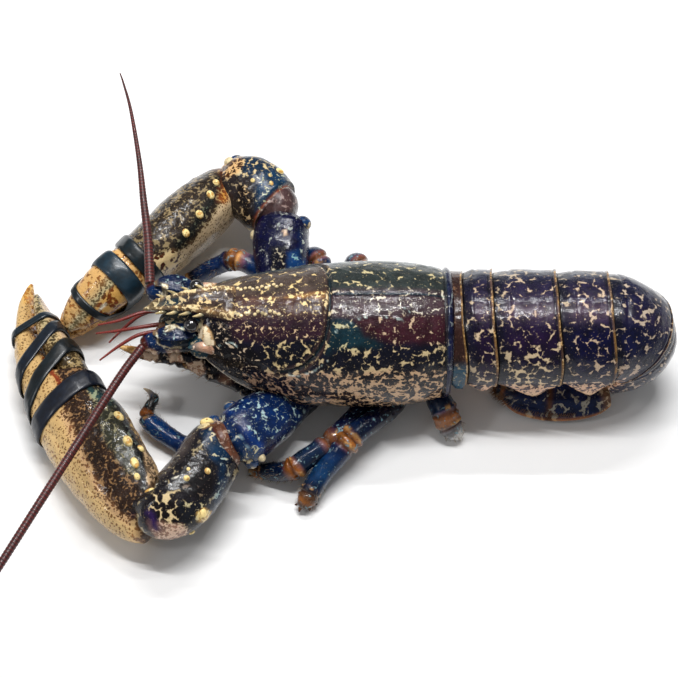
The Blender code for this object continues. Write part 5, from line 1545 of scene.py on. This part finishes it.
# Tubercles of the wrists, as add_beads takes them, and its seed
ARM_BEADS = {
    "carpus_left": (
        ((188.2, 469.6, 0.9, 1.1), (186.3, 478.6, 1.5, 1.0), (206.8, 471, 1.5, 1.1), (149, 487, 1.3, 1.9),
         (203, 515, 2.1, 1.5), (191.4, 531.5, 1.2, 1.6), (206, 419.5, 2.6, 1.3)), 120),
    "carpus_right": (
        ((252.8, 180.5, 1.2, 1.1), (269.7, 175.8, 0.9, 1.3), (271.4, 183.6, 1.1, 1.4),
            (279.8, 171.2, 2.0, 1.2)), 130),
}


def make_arms():
    """The two upper joints of each arm, with tubercles and knobs."""
    grids = {}
    for name, (rows, side, fineness, unevenness, ridges, coat, paint, dome) in ARM_JOINTS.items():
        rings, number, _ = limb(rows, side, *fineness)
        n = spread(number, rings)
        depth = grain(rings, *unevenness)
        for height, at, width in ridges:
            depth = depth + height * bell(n, at, width)
        rings = carve(rings, depth)
        f = base_coat(rings, *coat)
        for kind, first, second, colours in paint:
            if kind == "places":
                paint_places(f, rings, facing(rings), first, second)
            elif kind == "bell":
                paint_over(f, bell(n, first, second), *colours)
            else:
                share = ramp(n, first, second)
                paint_over(f, share if kind == "above" else 1 - share, *colours)
        skin(name + "_shell", rings, f, ARM, (name,), (0.3, dome))
        if name in ARM_BEADS:
            add_beads(name + "_tubercles", rings, ARM_BEADS[name][0], ARM_BEADS[name][1])
        grids[name] = rings
    lobes = []
    blue, cream = linear((20, 52, 92)), linear((214, 196, 156))
    places = [
        ("merus_left", (-46.6, -30.4, 26.0), 3.2, 2.6, blue), ("merus_left", (-35.6, -51.6, 20.0), 3.8, 3.0, blue),
        ("merus_left", (-37.0, -54.6, 18.0), 3.0, 3.0, blue), ("merus_left", (-34.8, -50.2, 23.0), 1.7, 2.6, cream),
        ("merus_left", (-29.0, -24.0, 27.0), 1.6, 1.6, cream), ("carpus_left", (-52.6, -38.0, 25.0), 4.0, 3.4,
            blue),
        ("merus_right", (-14.4, 61.4, 31.0), 2.3, 3.2, cream), ("merus_right", (-37.6, 56.8, 25.0), 2.4, 2.2,
            cream),
        ("merus_right", (-19.0, 66.6, 29.0), 3.6, 3.4, blue), ("carpus_right", (-49.4, 101.6, 28.0), 4.2, 3.6,
            blue),
        ("carpus_right", (-52.0, 94.0, 36.0), 2.4, 2.0, cream),
    ]
    for k, (name, place, radius, height, tone) in enumerate(places):
        spot, away = nearest(grids[name], place)
        lobes.append((bead(spot - away * 0.3, away, radius, height, 140 + k, 26, 16), tone, cream,
            (0.32, 0.2, 0.7)))
    lumps("arm_knobs", lobes, ARM)


LEG_PAINT = {
    "leg_left_1": ((0, (4, 8, 34)), (3, (6, 20, 66)), (3.9, (10, 44, 96)), (4.2, (60, 60, 66)),
        (4.6, (14, 62, 120)),
                   (5.6, (34, 96, 150)), (6.1, (12, 50, 112)), (8.3, (22, 84, 156)), (8.75, (30, 50, 76)), (9.0,
                       (168, 96, 40)),
                   (9.35, (120, 66, 30)), (9.6, (26, 24, 28)), (11, (60, 58, 60)), (12, (176, 166, 150))),
    "leg_left_2": ((0, (4, 8, 34)), (2.3, (8, 24, 70)), (2.8, (150, 88, 38)), (3.2, (24, 50, 88)),
        (4.2, (22, 44, 74)),
                   (4.75, (170, 98, 38)), (5.4, (128, 74, 32)), (5.9, (10, 34, 78)), (7.6, (30, 50, 74)), (8.3,
                       (150, 92, 44)), (9, (196, 170, 130))),
    "leg_left_3": ((0, (3, 6, 28)), (2.5, (8, 18, 56)), (3.4, (18, 44, 84)), (3.8, (172, 102, 42)),
        (4.4, (140, 84, 36)), (4.9, (12, 40, 92)),
                   (6.3, (24, 74, 126)), (7.0, (20, 50, 90)), (7.6, (74, 58, 48)), (8.4, (150, 92, 46)), (9,
                       (80, 66, 60))),
    "leg_left_4": ((0, (6, 8, 30)), (1.2, (30, 46, 84)), (1.9, (26, 58, 104)), (2.3, (156, 96, 54)),
        (3.0, (150, 98, 62)), (3.6, (96, 90, 94)),
                   (4.4, (170, 170, 172)), (5, (224, 220, 214))),
    "leg_right_1": ((0, (4, 8, 34)), (2.5, (10, 38, 96)), (3.6, (20, 62, 124)), (4.4, (176, 104, 40)),
        (5.0, (150, 88, 36)), (5.4, (16, 44, 96)),
                    (7.2, (20, 60, 120)), (8.0, (20, 26, 44)), (8.8, (140, 80, 34)), (10, (60, 46, 40))),
}
LEG_PAINT["leg_right_2"] = LEG_PAINT["leg_right_3"] = (
    (0, (4, 8, 34)), (1.8, (10, 40, 98)), (2.6, (24, 66, 122)), (3.0, (168, 98, 40)), (3.4, (18, 52, 104)), (5.2,
        (16, 40, 84)), (7, (120, 84, 50)))
LEG_PAINT["leg_right_4"] = LEG_PAINT["leg_left_4"]
LEG_JOINTS = {
    "leg_left_1": (4.2, 6.1, 8.9), "leg_left_2": (2.8, 5.0, 8.1), "leg_left_3": (3.9, 4.6, 7.6), "leg_left_4": (2.2,
        3.6),
    "leg_right_1": (4.6, 5.3, 8.6), "leg_right_2": (3.0, 5.6), "leg_right_3": (3.0, 5.6), "leg_right_4": (2.2, 3.6),
}


def make_legs():
    """Walking legs with their joints and bristles."""
    for seed, (name, rows) in enumerate(LEGS.items()):
        rings, number, centre = limb(rows, LIMB_SIDE, LEG_AROUND, LIMB_STEP, 2.15)
        n = spread(number, rings)
        out = normals(rings)
        depth = 0.16 * rough(rings, 4.0, 150 + seed) + 0.05 * rough(rings, 1.4, 160 + seed, 2)
        for joint in LEG_JOINTS[name]:
            depth -= 0.62 * bell(n, joint, 0.10)
            depth += 0.42 * bell(n, joint - 0.28, 0.16) + 0.30 * bell(n, joint + 0.24, 0.14)
        rings = carve(rings, depth)
        tone = stops(number, LEG_PAINT[name])[:, None, :] + np.zeros(rings.shape)
        tone = tone * np.where(tone[..., 2:] > tone[..., :1], 0.40, 0.72)
        f = fields_like(rings, tone, tone * 0.3 + linear((130, 176, 190)) * 0.5, 0.12, 0.35, 1.0)
        for joint in LEG_JOINTS[name]:
            paint_over(f, bell(n, joint, 0.09), (70, 40, 26), None, 0.05, 0.0)
            paint_over(f, bell(n, joint - 0.3, 0.12) * (rough(rings, 2.2, 170 + seed) > 0.05), (180, 134, 80), None,
                0.1)
        skin(name + "_shell", rings, f, LEG, (name,), (0.3, 0.5))
        pick = np.random.default_rng(seed)
        roots, ways = [], []
        count = len(rings)
        start = 0.74 if name in ("leg_left_1", "leg_left_2", "leg_right_1") else 0.84
        for _ in range(LEG_HAIRS if start < 0.8 else SHORT_LEG_HAIRS):
            i = int(pick.integers(int(count * start), count))
            j = int(pick.integers(0, LEG_AROUND))
            roots.append(rings[i, j])
            ahead = unit(centre[min(i + 1, count - 1)] - centre[max(i - 1, 0)])
            ways.append(out[i, j] + ahead * 0.9)
        bristles(name + "_bristles", roots, ways, 1.9, 0.085, (60, 40, 30), (190, 160, 120), 200 + seed, HAIR)


def make_claws_of_feet():
    """Small pincers and end claws of the walking legs."""
    shapes = []
    orange, tip = linear((186, 116, 52)), linear((60, 40, 34))
    tone = np.array([blend(orange, tip, t) for t in np.linspace(0, 1, 12)])
    blue = np.array([blend(linear((30, 60, 96)), linear((200, 180, 150)), t) for t in np.linspace(0, 1, 12)])
    spots = [
        ((-79.8, -18.8, 9.6), (-84.8, -13.4, 10.0), 1.7, blue, (0.6, 0.6, 0.2)), ((-80.6, -21.0, 9.0),
            (-79.0, -15.2, 8.6), 1.6, blue, (1.0, 0, 0)),
        ((-32.8, -51.4, 4.2), (-38.6, -49.0, 2.6), 1.9, tone, (0, 0.8, 0.2)), ((-32.8, -50.0, 4.0),
            (-38.4, -51.6, 2.0), 1.6, tone, (0, -0.6, 0)),
        ((-13.2, -63.6, 5.0), (-18.6, -66.0, 3.2), 1.6, tone, (0, -0.6, 0.2)), ((-13.6, -64.4, 4.6),
            (-16.8, -69.0, 2.4), 1.7, tone, (-0.6, 0, 0.2)),
        ((-13.0, -64.2, 4.2), (-12.4, -68.6, 2.4), 1.4, tone, (0.5, 0, 0)), ((-12.4, -62.8, 4.6),
            (-9.0, -66.0, 3.2), 1.3, tone, (0.4, -0.4, 0)),
        ((50.0, -32.6, 5.0), (52.8, -34.8, 3.0), 2.0, np.array([linear((206, 202, 196))] * 12), (0, 0, 0.3)),
        ((-69.4, 45.6, 4.8), (-75.0, 42.8, 2.8), 1.7, tone, (0, 0.5, 0.3)), ((-69.6, 44.8, 4.0), (-73.6, 46.4, 1.8),
            1.3, tone, (0, 0.5, 0)),
    ]
    for base, end, radius, colour, sag in spots:
        shapes.append((horn(base, end, radius, sag, 16, 12, 0.14), colour, colour, (0.1, 0.1, 0.6)))
    lumps("feet_claws", shapes, LEG)


SALMON = ((186, 142, 116), (226, 196, 168), 0.75, 0.1, 0.7)
IVORY = ((196, 178, 140), (236, 224, 196), 0.75, 0.2, 0.7)
GOLDEN = ((118, 78, 34), (206, 160, 84), 0.4, 0.2, 0.7)
HEAD_PAINT = (
    ("area", ((141, 351), (150, 348), (158, 352), (158, 361), (146, 363)), 1.5, SALMON),
    ("area", ((167, 351), (179, 350), (184, 361), (170, 362)), 1.5, SALMON),
    ("area", ((187, 364), (202, 361), (206, 373), (194, 378)), 1.5, SALMON),
    ("line", ((184, 364), (200, 379), (216, 389), (232, 392)), 1.2, GOLDEN),
    ("area", ((164, 320), (175, 321), (174, 327), (165, 328)), 1.0, IVORY),
    ("line", ((166, 331), (176, 326), (184, 330)), 1.0, IVORY),
    ("line", ((156, 333), (160, 344), (170, 349), (182, 347)), 0.9, IVORY),
    ("area", ((162, 284), (168, 286), (168, 300), (163, 300)), 1.2, IVORY),
)


def feeler(name, rings, tone, paler):
    tone = tone[:, None, :] + np.zeros(rings.shape)
    fields = fields_like(rings, tone, tone * paler, 0.0, 0.0, 0.5)
    skin(name + "_shell", rings, fields, FEELER, (name,), (0.3, 0.3))


def ringed(rings, length):
    """A wave from 0 to 1 along a feeler, for its rings of the given length."""
    return 0.5 + 0.5 * np.cos(np.arange(len(rings)) * FEELER_STEP * 2 * math.pi / length)


def make_mouth():
    """The mouth's outer legs with their bristles."""
    pick = np.random.default_rng(5)
    for name, rows in (("maxilliped_left", MAXILLIPED_LEFT), ("maxilliped_right", MAXILLIPED_RIGHT)):
        rings, number, centre = limb(rows, LIMB_SIDE, MOUTH_AROUND, LIMB_STEP, 2.2)
        n = spread(number, rings)
        depth = 0.2 * rough(rings, 4.0, 210)
        for joint in (1.6, 3.3, 4.7, 6.0):
            depth += -0.7 * bell(n, joint, 0.08) + 0.4 * bell(n, joint - 0.22, 0.14) + 0.25 * bell(n, joint + 0.2,
                0.12)
        out = normals(rings)
        rings = carve(rings, depth)
        f = base_coat(rings, (8, 9, 22), (206, 184, 158), 0.07, 0.3, 0.9)
        for at, width in ((2.6, 0.22), (6.9, 0.35)):
            paint_over(f, bell(n, at, width) * ramp(out[..., 2] - out[..., 1] * 0.3, 0.1, 0.7), (150, 110, 90),
                (222, 196, 170), 0.5, 0.1)
        paint_over(f, ramp(n, 6.6, 7.6), (176, 130, 70), (220, 180, 120), 0.4, 0.2)
        paint_places(f, rings, facing(rings), HEAD_PAINT, 9)
        skin(name + "_shell", rings, f, LEG, (name,), (0.3, 0.5))
        roots, ways = [], []
        for _ in range(MOUTH_HAIRS):
            i = int(pick.integers(int(len(rings) * 0.35), len(rings)))
            j = int(pick.integers(0, MOUTH_AROUND))
            if out[i, j, 2] > 0.55:
                continue
            roots.append(rings[i, j])
            ways.append(out[i, j] * 0.8 + unit(centre[-1] - centre[0]) * 0.8)
        bristles(name + "_bristles", roots, ways, 3.0, 0.09, (120, 78, 40), (206, 160, 92), 220, HAIR,
            0.35)


def make_antenna_bases():
    """The thick bases of the antennae and the scales above them."""
    for name, rows, seed in (("peduncle_left", PEDUNCLE_LEFT, 230), ("peduncle_right", PEDUNCLE_RIGHT, 240)):
        rings, number, _ = limb(rows, LIMB_SIDE, 64, 0.4, 2.2)
        n = spread(number, rings)
        depth = 0.18 * rough(rings, 3.0, seed) - 0.6 * bell(n, 2.3, 0.12) - 0.6 * bell(n, 1.2, 0.12) - 0.4 * bell(n,
            4.4, 0.15)
        rings = carve(rings, depth)
        f = base_coat(rings, (6, 36, 76), (206, 204, 186), 0.06, 0.3, 1.0)
        paint_over(f, 1 - ramp(n, 1.0, 1.5), (20, 34, 48), (200, 186, 158), 0.24)
        paint_over(f, ramp(n, 4.3, 4.8), (58, 20, 14), (120, 60, 40), 0.1, 0.0)
        paint_places(f, rings, facing(rings), HEAD_PAINT, 9)
        skin(name + "_shell", rings, f, LEG, (name,), (0.3, 0.5))
    for name, rows in SCALES.items():
        blade = [(*p, reach, SCALE_THICK) for p, reach in zip(rows, SCALE_REACH)]
        rings, number, _ = limb(blade, (0.0, 1.0, 0.0), 56, 0.4, 2.3)
        f = base_coat(rings, (5, 22, 54), (150, 180, 180), 0.10, 0.3, 0.9)
        n = spread(number, rings)
        paint_over(f, ramp(n, 2.4, 3.0), (120, 96, 66), None, 0.2)
        paint_places(f, rings, facing(rings), HEAD_PAINT, 9)
        skin(name + "_shell", rings, f, LEG, (name,), (0.3, 0.3))


def make_feelers():
    """The two long antennae and the four short ones."""
    for name, rows in (("flagellum_left", FLAGELLUM_LEFT), ("flagellum_right", FLAGELLUM_RIGHT)):
        rings, number, centre = limb(rows, LIMB_SIDE, 20, FEELER_STEP, 2.0)
        wave = ringed(rings, 1.5)
        rings = centre[:, None] + (rings - centre[:, None]) * (1 - 0.10 * (wave**3))[:, None, None]
        tone = linear((84, 20, 16)) + (linear((22, 5, 6)) - linear((84, 20, 16))) * (wave**2)[:, None]
        tone = tone * (0.85 + 0.3 * noise(centre, 6.0, 9))[:, None]
        feeler(name, rings, tone, 1.35)
    for name, rows in ANTENNULES.items():
        rings, number, centre = limb(rows, LIMB_SIDE, 14, FEELER_STEP, 2.0)
        wave = ringed(rings, 1.2)
        tone = stops(number, ((0, (34, 34, 44)), (0.25, (96, 34, 18)), (0.6, (104, 22, 12)), (3, (122, 30, 18))))
        tone = tone * (1 - 0.35 * wave[:, None] ** 2)
        feeler(name, rings, tone, 1.3)


def make_eyes():
    for name, at in EYES.items():
        at = np.array(at)
        bottom = at + (2.4, -2.4 if at[1] > 0 else 2.4, -3.2)
        out = unit(at - bottom)
        ball = bead(at, out, EYE_RADIUS, EYE_RADIUS, 1, 40, 26)
        ball = at + (ball - at) / np.linalg.norm(ball - at, axis=2, keepdims=True) * EYE_RADIUS
        f = base_coat(ball, (7, 7, 12), (20, 18, 22), 0.0, 0.0, 1.0)
        skin(name + "_ball", ball, f, EYE, (name,), (0.05, 0.05))
        stalk = horn(bottom - out * 2.5, at - out * 0.6, 3.0, (0, 0, 0), 28, 14, 0.78)
        lumps(name + "_stalk", [(stalk, linear((40, 60, 76)), linear((170, 160, 130)), (0.3, 0.3, 0.6))], SHELL)


def make_head_plates():
    """The lobes between the eyes and the mouth."""
    shapes = []
    teal, cream, brown = linear((28, 62, 76)), linear((212, 196, 160)), linear((96, 66, 46))
    for side in (-1, 1):
        shapes.append((horn((-62, side * 3.6, 45.0), (-73.0, side * 4.2, 46.2), 3.0, (0, 0, 0.3), 26, 14, 0.55),
            teal, cream, (0.3, 0.3, 0.7)))
        shapes.append((bead(np.array((-73.4, side * 4.4, 46.0)), (-1, 0, 0.1), 2.0, 2.2, 7, 20, 12), brown, cream,
            (0.3, 0.3, 0.7)))
        shapes.append((bead(np.array((-57, side * 10.6, 42.0)), (-1, side * 0.5, -0.2), 6.6, 6.0, 8, 36, 22), teal,
            cream, (0.4, 0.4, 0.7)))
        shapes.append((bead(np.array((-64, side * 7.8, 39.6)), (-1, side * 0.2, -0.5), 5.0, 5.2, 9, 32, 20), brown,
            cream, (0.4, 0.4, 0.7)))
    lumps("head_lobes", shapes, SHELL)


def band_loops(points, middle, across, width, lift, thick, sides=96, rows=9):
    """A flat strip round the shut claw, from the reach of the shell beside it."""
    across = unit(across)
    spine = points[1]
    up = unit(np.cross(spine, across))
    normal = unit(np.cross(across, up))
    rel = points[0] - np.array(middle)
    angle = np.arange(sides) * 2 * math.pi / sides
    face = np.column_stack([np.cos(angle), np.sin(angle)])

    def ring(edge, extra):
        near = abs(rel @ normal - edge) < 1.0
        reach = (np.column_stack([rel[near] @ across, rel[near] @ up]) @ face.T).max(0) + extra
        out = []
        for k in range(sides):
            j = (k + 1) % sides
            out.append(np.linalg.solve(np.array([face[k], face[j]]), np.array([reach[k], reach[j]])))
        flat = np.array(out)
        for _ in range(3):
            flat = 0.5 * flat + 0.25 * (np.roll(flat, 1, 0) + np.roll(flat, -1, 0))
        return np.array(middle) + flat[:, :1] * across + flat[:, 1:] * up + edge * normal

    inside = [ring(e * width / 2, lift) for e in np.linspace(-0.97, 0.97, rows)]
    outside = []
    for e in np.linspace(1, -1, rows + 4):
        swell = thick * (1 - abs(e) ** 6 * 0.55)
        outside.append(ring(e * width / 2, lift + swell))
    return inside + outside


def strip_piece(name, loops, seed, nodes, tone=(20, 30, 42)):
    """A band as a closed ring of loops, with soft waves."""
    loops = np.array(loops)
    count, around = loops.shape[:2]
    wobble = 0.22 * noise(loops, 9.0, seed) + 0.10 * noise(loops, 3.0, seed + 1)
    middle = loops.reshape(-1, 3).mean(0)
    away = loops - middle
    away /= np.linalg.norm(away, axis=2, keepdims=True)
    loops = loops + np.clip(wobble, -0.1, 0.4)[..., None] * away
    faces = []
    for a in range(count):
        b = (a + 1) % count
        for j in range(around):
            k = (j + 1) % around
            faces.append((a * around + j, a * around + k, b * around + k, b * around + j))
    flat = loops.reshape(-1, 3)
    tint = np.repeat(linear(tone)[None], len(flat), 0)
    pale = np.repeat(linear((tone[0] + 6, tone[1] + 14, tone[2] + 18))[None], len(flat), 0)
    fields = {"tint": tint, "pale": pale, "mark": np.zeros((len(flat), 3))}
    return write_mesh(name, flat, faces, fields, RUBBER, nodes)


def make_bands(left, right):
    """Elastic bands round both claws."""
    grids = {}
    for tag, parts in (("left", left), ("right", right)):
        points = np.vstack([g.reshape(-1, 3) for g in parts])
        spine = parts[0][-30].mean(0) - parts[0][30].mean(0)
        grids[tag] = (points, spine)
    for k, (name, (which, middle, across, width)) in enumerate(BANDS.items()):
        loops = band_loops(grids[which], middle, across, width, BAND_LIFT, BAND_THICK)
        strip_piece(name + "_strip", loops, 300 + k, (name,), BAND_TONES[k])


# Lamps: name, place and size in metres, power in watts
LAMPS = (
    ("softbox", (0.0, 0.16, 0.82), (0.62, 0.12), 1.7),
    ("strip_far", (0.02, 0.40, 0.74), (0.46, 0.010), 3.0),
    ("strip_near", (0.02, 0.10, 0.84), (0.46, 0.010), 3.6),
    ("side", (-0.60, -0.20, 0.55), (0.10, 0.10), 0.7),
)
FLOOR_REACH = 4


def make_stage():
    """Pale floor, soft studio light and the camera."""
    mesh = bpy.data.meshes.new("floor")
    level = CAD_BOX[0][2]
    corners = [(x * FLOOR_REACH, y * FLOOR_REACH, level) for x, y in ((-1, -1), (1, -1), (1, 1), (-1, 1))]
    mesh.from_pydata(corners, [], [(0, 1, 2, 3)])
    floor = bpy.data.objects.new("floor", mesh)
    bpy.context.scene.collection.objects.link(floor)
    white = bpy.data.materials.new("floor_white")
    white.use_nodes = True
    shader = white.node_tree.nodes["Principled BSDF"]
    shader.inputs["Base Color"].default_value = (0.93, 0.93, 0.93, 1)
    shader.inputs["Roughness"].default_value = 0.9
    shader.inputs["Specular IOR Level"].default_value = 0.1
    mesh.materials.append(white)
    world = bpy.data.worlds.new("studio")
    world.use_nodes = True
    sky = world.node_tree.nodes["Background"]
    sky.inputs["Color"].default_value = (1.0, 1.0, 1.0, 1)
    sky.inputs["Strength"].default_value = 0.25
    bpy.context.scene.world = world
    bpy.context.scene.view_settings.view_transform = "Standard"
    for name, place, size, power in LAMPS:
        lamp = bpy.data.lights.new(name, "AREA")
        lamp.shape = "RECTANGLE"
        lamp.size, lamp.size_y = size
        lamp.energy = power
        item = bpy.data.objects.new(name, lamp)
        item.location = place
        item.rotation_euler = (-Vector(place)).to_track_quat("-Z", "Y").to_euler()
        bpy.context.scene.collection.objects.link(item)
    lens = bpy.data.cameras.new("camera")
    lens.lens = DISTANCE / SCALE / PHOTO_SIDE * SENSOR
    lens.clip_start, lens.clip_end = 0.01, 20
    camera = bpy.data.objects.new("camera", lens)
    camera.location = Vector((VIEWPOINT + SHIFT) * MM)
    camera.rotation_euler = (math.pi / 2 - ELEVATION, 0, 0)
    bpy.context.scene.collection.objects.link(camera)
    bpy.context.scene.camera = camera


SHELL = shell_material("shell_back", 0.38, 0.72, 1.8, 0.27)
TAIL = shell_material("shell_tail", 0.40, 0.75, 1.7, 0.24, 0.35)
CLAW = shell_material("shell_claw", 0.40, 0.85, 1.6, 0.32, 0.4)
ARM = shell_material("shell_arm", 0.42, 0.8, 1.5, 0.24)
LEG = shell_material("shell_leg", 0.55, 1.0, 1.2, 0.22, 0.3, 0.2)
HAIR = plain_material("bristle", 0.55, 0.1)
FEELER = plain_material("feeler", 0.42, 0.12, 0.3, 1.0)
EYE = plain_material("eye", 0.08, 1.0, 0.05)
RUBBER = plain_material("rubber", 0.34, 0.10, 0.30, 0.35)

make_stage()
SHELL_RINGS = make_carapace()
make_rostrum()
make_tail()
make_fan()
left = make_left_claw()
right = make_right_claw()
make_arms()
make_legs()
make_claws_of_feet()
make_mouth()
make_antenna_bases()
make_feelers()
make_eyes()
make_head_plates()
make_bands(left, right)
